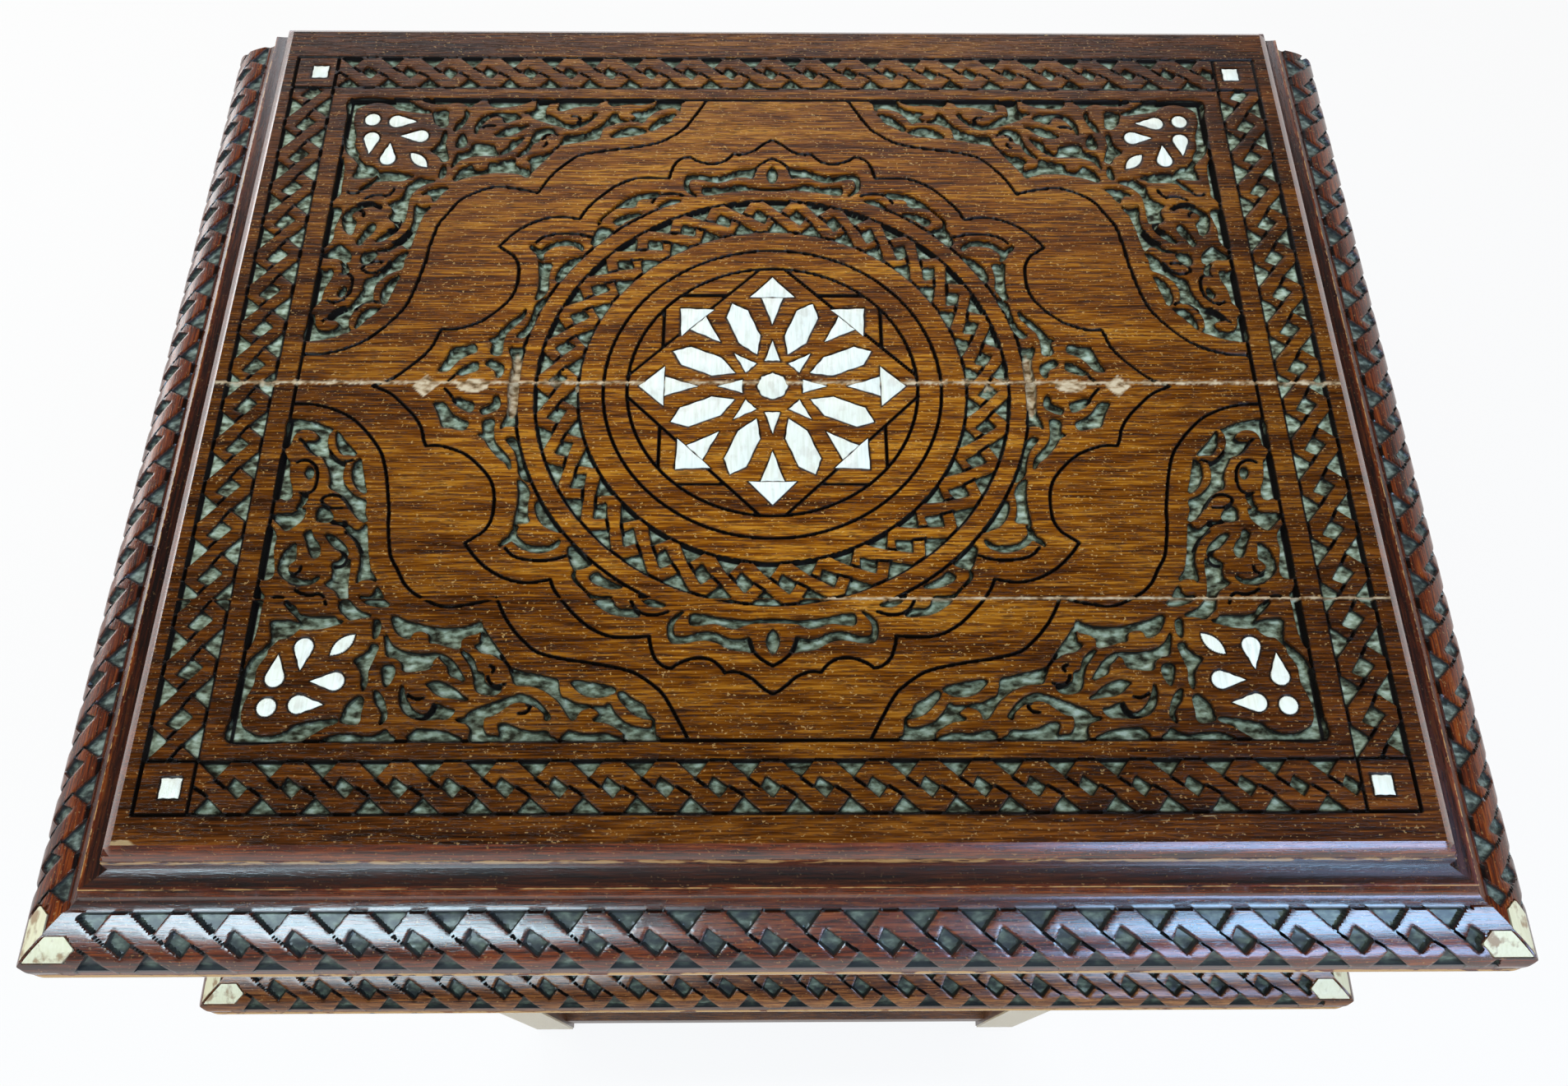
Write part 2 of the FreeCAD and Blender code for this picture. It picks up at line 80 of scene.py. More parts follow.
panel_low, panel_high = extent("lid_board_front")
middle_low, middle_high = extent("lid_board_middle")
_, back_high = extent("lid_board_back")
rail_low, rail_high = extent("lid_rail_front")
wall_low, wall_high = extent("box_wall_front")
HALF_LID = rail_high[0]
LIP_Y = rail_low[1]
HALF_PANEL = wall_high[0]
PANEL_FRONT = wall_low[1]
BACK_Y = extent("box_wall_back")[1][1]
TOP = panel_high[2]
UNDERSIDE = panel_low[2]
THUMB_OUT = panel_high[0] - HALF_PANEL
PANEL_BACK = back_high[1] - THUMB_OUT
SEAM_FRONT = middle_low[1]
SEAM_BACK = middle_high[1]
REACH = HALF_LID - HALF_PANEL
print("lid", 2 * HALF_LID, "panel", 2 * HALF_PANEL, "top", TOP, "seams", SEAM_FRONT, SEAM_BACK)

# %% [markdown]
# ## The camera
# The lid is seen from in front and from well above. The corners of the lid in the picture fix where the
# camera stood: the nearer the camera, the faster the far edge shrinks. A wide lens close to the lid gives
# the strong taper, so the camera is placed by its real position and three directions. Aiming it by eye
# would be quicker, but then no edge would fall quite where the picture has it.

# %% Camera
CAMERA_PLACE = (-3.0, -202.7, 973.2)
CAMERA_LOOK = (0.01074, 0.42873, -0.90337)
CAMERA_RIGHT = (0.99994, -0.00528, 0.00938)
FOCAL_PIXELS = 1504.3
IMAGE_WIDTH = 1907

camera_data = bpy.data.cameras.new("camera")
camera_data.sensor_fit = "HORIZONTAL"
camera_data.sensor_width = 36.0
camera_data.lens = FOCAL_PIXELS / IMAGE_WIDTH * camera_data.sensor_width
camera_data.clip_start = 0.01
camera = bpy.data.objects.new("camera", camera_data)
bpy.context.scene.collection.objects.link(camera)
look = Vector(CAMERA_LOOK).normalized()
right = Vector(CAMERA_RIGHT).normalized()
up = right.cross(look)
turn = Matrix((right, up, -look)).transposed().to_4x4()
camera.matrix_world = Matrix.Translation(Vector(CAMERA_PLACE) * MM) @ turn
bpy.context.scene.camera = camera
print("lens", round(camera_data.lens, 2), "mm")

# %% [markdown]
# ## Meshes from arrays
# Carved wood could be modelled by hand or cut with Boolean modifiers, but this box has thousands of small
# cuts. So every new piece is a grid of points worked out as whole arrays, which takes seconds. Each small
# four-cornered cell is split along the diagonal whose ends are nearer in height, so a carved edge never
# gets a notch across it.

# %% Mesh helpers
def cell_triangles(points, across, along):
    """Two triangles per grid cell, split along the diagonal that is more level; row-major point numbers."""
    number = np.arange(across * along).reshape(across, along)
    a, b = number[:-1, :-1].ravel(), number[:-1, 1:].ravel()
    d, c = number[1:, :-1].ravel(), number[1:, 1:].ravel()
    height = points[:, 2]
    level = np.abs(height[a] - height[c]) <= np.abs(height[b] - height[d])
    first = np.where(level[:, None], np.stack([a, b, c], 1), np.stack([a, b, d], 1))
    second = np.where(level[:, None], np.stack([a, c, d], 1), np.stack([b, c, d], 1))
    return np.concatenate([first, second])


def rim_of(grid):
    """Entries round a grid in order: along the first row, down the last column, back and up again."""
    return np.concatenate([grid[0, :-1], grid[:-1, -1], grid[-1, :0:-1], grid[:0:-1, 0]])


def skirt(rim, foot):
    """Two triangles for each step along a closed rim, down to the foot points of the same order."""
    next_rim, next_foot = np.roll(rim, -1), np.roll(foot, -1)
    return np.concatenate([np.stack([rim, foot, next_foot], 1), np.stack([rim, next_foot, next_rim], 1)])


print("a grid of 3 by 4 points gives", len(cell_triangles(np.zeros((12, 3)), 3, 4)), "triangles")

# %% New pieces
def make_piece(name, points, triangles, closers=(), paint=None):
    """A mesh object at the origin from millimetre points, triangles and any larger closing faces."""
    sizes = np.concatenate([np.full(len(triangles), 3), [len(c) for c in closers]]).astype(np.int32)
    corners = np.concatenate([triangles.ravel(), *closers]).astype(np.int32)
    mesh = bpy.data.meshes.new(name)
    mesh.vertices.add(len(points))
    mesh.vertices.foreach_set("co", (points * MM).astype(np.float32).ravel())
    mesh.loops.add(len(corners))
    mesh.loops.foreach_set("vertex_index", corners)
    mesh.polygons.add(len(sizes))
    mesh.polygons.foreach_set("loop_start", (np.cumsum(sizes) - sizes).astype(np.int32))
    mesh.update(calc_edges=True)
    mesh.validate()
    for label, values in (paint or {}).items():
        layer = mesh.attributes.new(label, "FLOAT", "POINT")
        layer.data.foreach_set("value", values.astype(np.float32))
    mesh.shade_smooth()
    mesh.set_sharp_from_angle(angle=math.radians(32))
    piece = bpy.data.objects.new(name, mesh)
    bpy.context.scene.collection.objects.link(piece)
    return piece


def stand_for(piece, body, slot, *stood_for):
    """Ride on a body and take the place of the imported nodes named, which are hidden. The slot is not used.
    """
    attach(piece, body)
    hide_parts(*stood_for)
    print(piece.name, len(piece.data.vertices), "points", len(piece.data.polygons), "faces")
    return piece

# %% [markdown]
# ## Outlines of the carving
# The carver sank the ground round the scrolls and cut thin lines round the cartouches. Each hollow is a
# closed outline through a few given points, for one quarter of the panel only. The first pair of
# lists is measured from the middle of the field, out to the side and out to the front or back. The second
# pair is measured the same way from the middle of the star. Folding the panel along its two middle lines
# repeats a quarter four times, as the carver's pricked paper pattern did.

# %% Hollows and cut lines of one quarter
SPANDREL_HOLLOWS = {
    "palmette_surround": [(143.3, 88.6), (146.0, 91.3), (147.0, 94.5), (147.8, 99.2), (147.9, 106.9),
        (147.6, 114.7), (130.1, 114.5), (127.5, 113.6), (125.1, 112.1), (122.5, 110.4), (119.8, 109.4),
        (120.1, 108.6), (123.6, 108.9), (127.8, 109.6), (131.3, 110.5), (132.8, 111.9), (136.0, 113.2),
        (139.5, 113.4), (142.8, 112.2), (145.4, 110.3), (146.2, 106.3), (145.4, 102.2), (144.2, 98.6),
        (144.2, 94.5), (143.3, 92.2), (142.0, 89.7)],
    "palmette_shoulder": [(142.8, 87.8), (141.3, 86.0), (141.6, 83.4), (142.2, 80.1), (139.5, 79.8),
        (135.4, 80.4), (134.1, 81.7), (135.4, 83.6), (136.9, 84.8), (139.2, 85.2), (140.7, 86.9),
        (142.8, 89.2)],
    "crescent": [(139.4, 74.4), (136.6, 75.7), (135.1, 77.8), (132.2, 78.6), (127.8, 78.6),
        (124.8, 78.8), (124.2, 79.7), (122.2, 80.3), (125.1, 81.3), (128.3, 82.1), (133.3, 82.2),
        (134.1, 80.4), (135.4, 78.6), (137.8, 76.4)],
    "side_sliver": [(147.9, 70.1), (146.9, 71.3), (145.7, 72.8), (146.0, 76.3), (146.0, 80.4),
        (146.3, 84.5), (147.2, 88.1), (147.9, 86.9), (147.9, 78.6)],
    "leaf_gap": [(113.5, 79.9), (112.0, 80.4), (111.8, 83.4), (112.6, 85.2), (113.2, 83.9)],
    "palmette_right": [(117.5, 91.6), (115.4, 90.1), (113.9, 88.6), (113.3, 86.9), (111.6, 87.6),
        (112.0, 89.8), (112.9, 92.8), (113.5, 95.1), (113.2, 98.1), (113.8, 100.3), (114.4, 98.6),
        (114.8, 95.7), (116.3, 93.1)],
    "palmette_foot": [(117.8, 104.8), (116.3, 103.1), (114.8, 102.1), (113.5, 103.2), (113.8, 106.9),
        (114.2, 109.7), (118.6, 109.1), (118.3, 106.9)],
    "thin_crescent": [(110.7, 100.5), (108.9, 101.9), (107.5, 104.5), (106.6, 108.1), (107.9, 109.9),
        (107.6, 107.5), (108.6, 105.4), (110.0, 103.6)],
    "stem_eye": [(108.9, 93.2), (106.6, 93.5), (106.1, 95.7), (106.9, 98.1), (107.9, 99.2),
        (108.9, 96.9), (109.4, 94.5)],
    "upper_gap": [(109.8, 84.2), (107.8, 87.2), (104.2, 89.1), (99.5, 89.8), (94.8, 89.8), (96.0, 91.9),
        (96.6, 93.9), (99.5, 94.6), (103.5, 94.6), (104.2, 92.2), (106.6, 90.7), (108.6, 90.1),
        (109.4, 86.9)],
    "upper_leaf": [(94.5, 89.9), (92.2, 90.7), (89.5, 93.1), (86.5, 97.6), (88.0, 97.0), (90.7, 95.7),
        (91.4, 93.4), (93.0, 91.9)],
    "border_gap": [(108.5, 78.6), (103.6, 80.4), (96.6, 82.1), (93.0, 82.3), (88.9, 82.1), (86.0, 81.3),
        (83.9, 80.4), (83.5, 83.1), (87.2, 84.4), (88.9, 86.0), (89.0, 88.1), (91.9, 87.5), (95.4, 86.4),
        (97.2, 86.2), (97.5, 84.2), (98.9, 83.1), (101.3, 82.9), (102.8, 84.1), (103.2, 85.1),
        (105.7, 84.2), (107.5, 82.2)],
    "cusp_gap": [(82.9, 82.5), (81.6, 84.2), (78.9, 87.8), (76.3, 91.6), (79.5, 89.8), (82.5, 89.2),
        (84.5, 87.4), (83.2, 86.3)],
    "curl_gap": [(88.3, 88.9), (86.6, 89.8), (84.8, 91.6), (83.9, 93.9), (83.3, 95.2), (81.6, 95.8),
        (81.2, 97.8), (78.9, 99.8), (76.3, 99.5), (77.2, 101.3), (79.5, 101.6), (82.5, 100.7),
        (83.5, 98.6), (84.0, 96.3), (85.1, 93.4), (86.9, 91.0)],
    "long_leaf": [(96.6, 98.5), (94.2, 97.9), (91.6, 98.6), (88.9, 100.1), (86.9, 101.9), (85.1, 103.1),
        (88.3, 102.6), (91.9, 102.1), (94.2, 101.0), (95.7, 99.5)],
    "scroll_c": [(103.3, 99.2), (103.6, 101.6), (103.0, 104.5), (101.3, 106.9), (98.9, 108.1),
        (96.6, 108.6), (91.6, 108.1), (88.6, 106.3), (90.1, 105.8), (91.9, 105.0), (93.6, 104.4),
        (94.2, 106.3), (96.0, 107.4), (98.3, 107.0), (100.4, 105.2), (101.9, 102.9), (102.8, 101.0)],
    "scroll_wedge": [(94.0, 104.8), (93.0, 107.0), (91.5, 108.4), (89.6, 108.0), (88.5, 106.2), (90.2, 105.8),
        (92.2, 105.2)],
    "curl_eye": [(139.6, 31.0), (138.4, 31.6), (138.0, 33.6), (138.6, 34.8), (139.6, 34.0), (140.2, 32.4)],
    "foot_sliver": [(122.8, 114.6), (120.1, 113.2), (117.2, 112.8), (113.6, 113.2), (110.7, 113.6),
        (108.3, 112.9), (106.3, 111.7), (105.4, 112.8), (103.6, 114.2), (107.2, 114.4), (114.2, 114.6)],
    "foot_hollow": [(99.6, 114.2), (98.6, 111.9), (97.5, 111.5), (93.6, 111.7), (90.1, 112.3),
        (87.8, 113.2), (85.7, 114.4), (90.7, 114.6)],
    "scroll_bed": [(87.5, 108.8), (85.2, 108.1), (84.1, 106.6), (81.0, 105.2), (77.8, 103.9),
        (76.0, 103.2), (73.7, 102.4), (70.8, 101.7), (68.0, 102.5), (65.5, 104.2), (63.1, 106.9),
        (62.3, 108.4), (63.4, 108.8), (63.7, 107.2), (65.8, 105.2), (68.0, 104.2), (70.8, 103.5),
        (73.4, 104.2), (75.8, 106.0), (78.1, 107.5), (80.2, 108.1), (80.3, 111.0), (79.0, 113.1),
        (76.3, 113.5), (76.5, 114.6), (82.8, 114.8), (83.3, 111.6), (84.5, 109.8)],
    "stem_wedge": [(74.0, 94.4), (71.0, 95.2), (66.6, 96.0), (64.0, 96.8), (61.3, 97.4), (60.7, 99.8),
        (59.9, 102.2), (58.0, 103.1), (55.2, 104.4), (51.6, 105.0), (54.0, 106.0), (55.2, 107.5),
        (55.8, 108.8), (57.2, 107.8), (59.9, 103.9), (62.5, 101.6), (65.2, 99.9), (68.4, 98.9),
        (72.3, 98.6), (73.3, 96.6)],
    "curl_bed": [(51.3, 105.1), (48.1, 105.2), (46.5, 104.5), (45.2, 106.6), (43.4, 108.6),
        (41.3, 110.9), (42.2, 112.2), (44.0, 111.0), (46.9, 109.5), (50.5, 108.9), (48.7, 107.5),
        (49.6, 106.0)],
    "leaf_one": [(57.1, 98.2), (55.5, 97.8), (52.8, 98.2), (48.7, 98.9), (45.0, 100.3), (47.2, 101.9),
        (50.5, 102.3), (53.4, 101.6), (55.5, 100.1)],
    "leaf_two": [(44.1, 101.3), (42.8, 101.0), (40.5, 102.9), (37.2, 104.8), (36.3, 106.9),
        (34.6, 108.5), (36.9, 108.2), (39.9, 106.8), (42.2, 104.5), (43.4, 103.1)],
    "tail_bed": [(46.8, 104.4), (45.5, 106.3), (43.4, 108.8), (40.5, 110.5), (36.9, 111.4),
        (34.5, 111.1), (34.2, 108.8), (33.7, 113.1), (32.7, 114.2), (40.8, 114.2), (41.9, 112.8),
        (41.3, 111.0), (43.4, 109.8), (45.8, 107.5)],
    "foot_left": [(75.9, 110.3), (74.6, 109.9), (72.2, 110.7), (69.9, 111.7), (66.3, 112.2),
        (63.1, 112.1), (61.9, 113.6), (61.0, 114.4), (74.6, 114.5), (75.2, 112.8)],
    "foot_right": [(58.4, 114.2), (57.2, 112.2), (55.8, 112.3), (51.6, 113.1), (48.1, 112.8),
        (45.8, 113.1), (42.8, 114.5), (50.5, 114.6)],
    "top_bed": [(148.2, 14.8), (144.2, 14.6), (140.1, 15.5), (136.0, 17.3), (134.5, 17.9), (135.5, 19.6),
        (135.7, 22.3), (134.7, 25.8), (136.0, 26.9), (138.3, 26.4), (140.4, 24.6), (141.8, 22.4),
        (139.2, 22.0), (138.0, 20.5), (139.5, 18.5), (142.2, 17.7), (144.5, 18.3), (146.0, 20.2),
        (146.6, 23.5), (147.9, 24.1), (148.0, 20.5)],
    "side_bed": [(147.9, 26.4), (146.6, 28.2), (145.7, 29.1), (145.4, 32.3), (144.8, 35.2),
        (143.6, 38.2), (143.3, 40.8), (144.2, 41.7), (146.0, 41.0), (147.2, 41.7), (147.9, 40.5),
        (148.0, 34.6)],
    "side_spot": [(141.0, 44.5), (140.0, 42.3), (140.0, 40.2), (138.5, 40.4), (138.8, 42.6),
        (140.0, 44.4)],
    "side_heart": [(147.5, 47.0), (145.7, 46.3), (142.5, 46.3), (140.4, 45.1), (138.5, 45.1),
        (138.9, 48.2), (140.7, 50.2), (142.8, 51.6), (144.8, 49.9), (146.6, 48.2)],
    "side_low": [(147.9, 50.8), (146.6, 51.7), (145.5, 54.4), (145.7, 58.2), (144.8, 62.3),
        (144.5, 66.4), (147.2, 67.0), (147.9, 64.6), (148.0, 55.8)],
    "curl_ring": [(139.6, 56.0), (141.8, 57.8), (142.8, 60.5), (143.2, 63.4), (142.1, 65.6),
        (139.8, 67.5), (136.6, 68.6), (133.6, 68.8), (131.3, 67.4), (131.4, 66.4), (133.6, 67.6),
        (136.6, 67.2), (139.2, 65.8), (140.7, 63.9), (140.0, 62.2), (138.8, 61.0), (139.2, 58.1)],
    "edge_leaf_one": [(133.0, 18.9), (131.9, 19.9), (130.1, 22.3), (127.8, 24.6), (126.1, 26.7),
        (127.8, 26.5), (130.1, 26.3), (131.6, 24.6), (132.5, 22.3)],
    "edge_leaf_two": [(126.0, 29.1), (124.8, 28.2), (124.3, 29.9), (123.3, 33.5), (122.5, 36.4),
        (121.6, 39.4), (123.3, 38.5), (124.8, 37.0), (126.0, 34.6), (126.5, 31.7)],
    "stem_bed": [(136.0, 26.4), (133.9, 27.0), (131.9, 28.8), (129.2, 29.1), (129.5, 32.3),
        (129.2, 35.2), (127.8, 37.6), (125.1, 40.2), (122.8, 41.4), (121.3, 42.3), (121.2, 45.8),
        (120.1, 48.8), (122.5, 47.7), (124.2, 45.8), (126.0, 42.9), (128.0, 40.2), (130.1, 38.8),
        (132.2, 37.6), (132.5, 34.6), (133.3, 31.7), (134.8, 29.1)],
    "small_bed": [(134.8, 45.2), (133.9, 44.1), (132.8, 44.1), (131.3, 45.5), (130.1, 47.6),
        (131.0, 48.9), (133.0, 48.8), (134.5, 48.2)],
    "curl_shadow": [(130.1, 49.4), (127.2, 49.1), (124.8, 50.4), (123.3, 51.6), (121.3, 51.4),
        (120.2, 49.8), (119.8, 51.7), (121.0, 52.9), (123.0, 53.4), (124.8, 52.0), (126.6, 50.2)],
    "edge_band": [(124.8, 52.0), (122.5, 53.5), (120.1, 51.4), (119.4, 53.5), (118.6, 58.2),
        (117.8, 61.7), (116.9, 64.6), (114.8, 67.6), (116.6, 67.0), (118.9, 67.3), (120.1, 67.9),
        (119.8, 61.7), (121.0, 57.0), (122.5, 54.6)],
    "mid_leaf": [(137.3, 52.9), (136.0, 51.7), (134.8, 54.1), (133.3, 55.8), (132.2, 58.2),
        (132.5, 60.2), (133.9, 60.2), (135.1, 58.2), (136.0, 55.8)],
    "mid_curl": [(131.2, 53.0), (129.2, 53.4), (127.2, 54.9), (125.1, 57.0), (124.1, 59.4),
        (124.8, 62.3), (126.6, 63.0), (127.8, 62.3), (126.0, 61.1), (125.3, 59.4), (126.6, 57.7),
        (128.6, 56.5), (130.0, 54.9)],
    "long_stem": [(127.8, 62.8), (124.8, 62.6), (123.3, 61.0), (122.9, 64.5), (122.8, 68.6),
        (122.2, 72.5), (120.4, 75.1), (118.3, 76.9), (114.8, 78.5), (117.8, 78.9), (120.2, 79.5),
        (121.9, 78.1), (123.6, 76.4), (124.2, 73.4), (125.7, 70.7), (128.9, 68.6), (127.5, 67.2),
        (127.3, 64.5)],
    "edge_curl": [(118.5, 72.6), (116.3, 72.8), (114.8, 71.6), (114.2, 69.8), (113.0, 71.3),
        (111.9, 73.4), (110.1, 75.3), (112.5, 75.6), (114.8, 75.1), (116.9, 74.2)],
}

SPANDREL_LINES = {
    "spandrel_line_side": [(147.9, 8.9), (141.9, 9.2), (137.8, 10.1), (134.2, 11.4), (130.1, 13.5),
        (127.2, 15.8), (124.2, 18.8), (121.3, 22.3), (118.6, 26.4), (116.9, 31.1), (115.7, 35.8),
        (114.8, 40.5), (113.9, 45.2), (113.5, 49.9), (112.5, 55.8), (111.3, 60.5), (108.9, 64.5),
        (106.6, 68.6), (103.6, 71.6), (99.8, 73.8), (96.3, 75.4), (92.8, 76.0), (88.9, 75.4),
        (84.2, 74.5), (80.0, 73.2)],
    "spandrel_line_front": [(79.9, 73.2), (76.9, 79.2), (73.7, 83.6), (70.5, 86.9), (67.2, 89.5),
        (62.2, 91.0), (57.5, 91.9), (51.6, 92.8), (45.8, 93.9), (41.0, 95.2), (37.8, 96.9), (34.3, 99.5),
        (31.6, 102.2), (28.1, 108.1), (24.8, 114.2)],
    "scroll_cut_one": [(137.0, 70.7), (135.1, 71.8), (132.5, 72.3), (130.1, 71.9), (128.5, 73.1),
        (127.8, 75.1)],
    "scroll_cut_two": [(143.3, 73.5), (142.2, 72.8), (140.0, 73.1), (138.3, 74.5)],
    "curl_cut": [(70.8, 107.2), (68.7, 106.8), (67.8, 105.2), (68.7, 104.5)],
    "cusp_cut": [(77.5, 89.8), (75.6, 92.4), (74.0, 94.4)],
    "knob_cut": [(80.2, 96.6), (79.2, 98.6), (77.2, 99.4), (75.2, 98.8)],
    "knob_eye": [(79.8, 93.4), (78.6, 94.2), (78.9, 95.4)],
    "scroll_c_cut": [(98.9, 108.1), (96.6, 107.9), (94.8, 106.6), (94.0, 104.6)],
    "scroll_knob": [(101.4, 101.8), (99.4, 102.9), (97.0, 102.8)],
    "top_curl": [(143.6, 21.4), (142.2, 22.6), (141.2, 24.2), (139.5, 25.8), (137.4, 27.0)],
    "leaf_stem": [(134.2, 25.4), (132.2, 27.8), (129.6, 29.2), (126.8, 28.6)],
    "side_curl": [(143.2, 29.4), (141.2, 28.6), (138.8, 29.4), (137.0, 31.6), (136.3, 35.2), (136.8, 38.6),
        (138.4, 39.8), (140.6, 39.6)],
    "stem_leaf_top": [(133.8, 41.4), (131.5, 40.3), (128.8, 40.8), (126.6, 42.8), (125.4, 44.8)],
    "stem_leaf_foot": [(134.0, 42.2), (132.8, 43.7), (130.6, 44.6), (127.6, 44.6)],
    "arch_cut": [(125.5, 52.4), (123.2, 54.0), (121.6, 56.2), (120.6, 58.0)],
    "shadow_cut": [(130.2, 48.8), (127.8, 49.6), (125.8, 49.2)],
    "ring_cut": [(139.0, 68.4), (136.2, 69.2), (133.4, 68.6), (131.2, 67.2)],
    "ring_knob": [(139.8, 65.3), (138.2, 65.8), (136.8, 65.0), (136.6, 63.5)],
    "mid_knob": [(127.6, 57.6), (125.5, 58.5), (124.6, 60.4), (125.6, 62.2), (127.4, 62.6)],
}

MEDALLION_HOLLOWS = {
    "trefoil_outer": [(103.2, 6.0), (102.1, 5.6), (100.3, 6.0), (99.4, 7.2), (98.2, 8.9), (96.7, 10.4),
        (94.4, 11.8), (92.4, 12.9), (93.0, 15.2), (95.1, 15.1), (97.4, 14.5), (99.4, 14.3),
        (100.1, 13.3), (100.9, 11.0), (102.1, 8.3)],
    "trefoil_petal": [(97.6, 4.9), (95.9, 4.3), (93.6, 5.1), (91.5, 6.0), (91.3, 7.2), (91.7, 8.9),
        (93.6, 8.3), (95.9, 6.8)],
    "trefoil_bean": [(88.8, 8.3), (88.2, 7.6), (86.7, 6.8), (85.3, 5.6), (85.1, 3.7), (84.2, 3.5),
        (83.4, 5.6), (83.6, 7.6), (85.1, 8.7), (87.1, 9.7), (88.2, 9.7)],
    "ring_strip": [(80.9, -2.1), (78.4, -2.1), (78.3, 1.0), (78.2, 5.6), (78.0, 9.5), (77.4, 13.7),
        (79.4, 13.9), (81.3, 14.1), (82.0, 14.9), (81.7, 12.6), (80.7, 10.2), (80.3, 7.2), (80.7, 4.1),
        (80.9, 1.0)],
    "flank_stem": [(87.6, 12.3), (84.7, 11.8), (84.5, 16.2), (83.6, 19.7), (81.0, 22.8), (78.8, 25.6),
        (78.2, 28.8), (79.6, 26.6), (82.1, 24.5), (85.1, 20.9), (86.8, 18.2), (88.6, 17.2), (87.2, 16.2)],
    "flank_leaf": [(80.1, 18.6), (78.1, 18.2), (76.6, 20.3), (75.4, 23.2), (74.7, 27.3), (72.8, 30.3),
        (71.9, 33.2), (74.0, 32.0), (75.2, 30.3), (75.7, 27.3), (76.9, 23.2), (78.4, 20.9)],
    "flank_strip": [(75.4, 32.6), (73.4, 33.8), (71.9, 36.8), (72.2, 40.3), (71.9, 44.4), (71.3, 46.5),
        (74.5, 46.8), (75.4, 47.9), (75.1, 44.4), (74.7, 40.3), (74.8, 36.2)],
    "boat": [(78.1, 52.3), (76.6, 51.2), (75.7, 49.1), (74.2, 47.9), (74.7, 50.3), (73.1, 52.3),
        (71.0, 53.8), (67.5, 54.3), (64.5, 54.1), (61.9, 52.3), (62.2, 54.1), (64.0, 55.3), (66.9, 56.2),
        (70.4, 55.6), (73.4, 54.1), (75.4, 52.3), (77.5, 53.5), (79.0, 54.3)],
    "ring_leaf": [(69.5, 41.5), (69.0, 39.7), (67.5, 40.9), (65.4, 44.4), (63.4, 47.0), (61.3, 49.7),
        (63.4, 49.1), (66.3, 47.6), (68.4, 45.0)],
    "wave_head": [(59.0, 55.0), (57.5, 54.4), (55.1, 56.8), (53.4, 59.1), (52.2, 60.0), (54.5, 61.2),
        (56.9, 61.2), (58.4, 57.9)],
    "wave": [(56.6, 61.9), (56.6, 64.3), (54.8, 66.6), (52.2, 69.3), (49.2, 70.2), (46.3, 70.2),
        (45.4, 71.0), (45.1, 72.5), (43.4, 73.8), (41.0, 73.8), (39.2, 74.3), (37.6, 76.0), (41.0, 76.0),
        (45.1, 75.2), (48.7, 73.1), (51.0, 71.0), (53.4, 68.1), (55.7, 66.0), (57.2, 63.7)],
    "wave_leaf": [(52.2, 64.0), (50.4, 62.5), (48.7, 64.0), (45.7, 65.8), (43.1, 67.1), (45.1, 67.5),
        (48.1, 66.9), (51.0, 65.5)],
    "wave_tail": [(37.8, 69.9), (35.1, 70.8), (30.5, 72.7), (33.1, 73.1), (35.1, 72.5), (36.8, 71.2)],
    "bar_top": [(23.2, 76.3), (22.3, 75.4), (19.1, 75.8), (15.6, 76.6), (11.8, 77.2), (7.1, 77.6),
        (3.3, 77.3), (-0.9, 77.1), (-0.9, 77.9), (2.5, 77.9), (6.4, 78.2), (8.7, 79.0), (10.6, 79.6),
        (12.9, 79.2), (14.8, 78.5), (17.1, 78.1), (20.2, 78.6), (23.0, 78.5)],
    "bar_foot": [(25.3, 74.7), (27.3, 76.0), (29.0, 77.9), (29.3, 80.7), (28.7, 83.2), (27.3, 84.0),
        (24.1, 83.8), (21.4, 83.3), (18.7, 83.1), (16.0, 83.7), (14.1, 84.6), (12.5, 85.5), (10.2, 86.2),
        (7.5, 86.4), (5.5, 86.8), (6.2, 84.6), (6.8, 82.7), (8.7, 83.1), (11.8, 83.1), (13.7, 82.4),
        (15.2, 81.6), (17.9, 80.9), (20.6, 81.1), (22.9, 81.9), (25.6, 82.3), (27.6, 81.9), (28.2, 80.3),
        (28.1, 78.6), (27.4, 77.1)],
    "almond": [(-0.0, 80.4), (-1.2, 81.7), (-1.6, 83.8), (-1.2, 85.7), (-0.0, 87.2), (1.1, 85.7),
        (1.6, 83.8), (1.1, 81.7)],
}

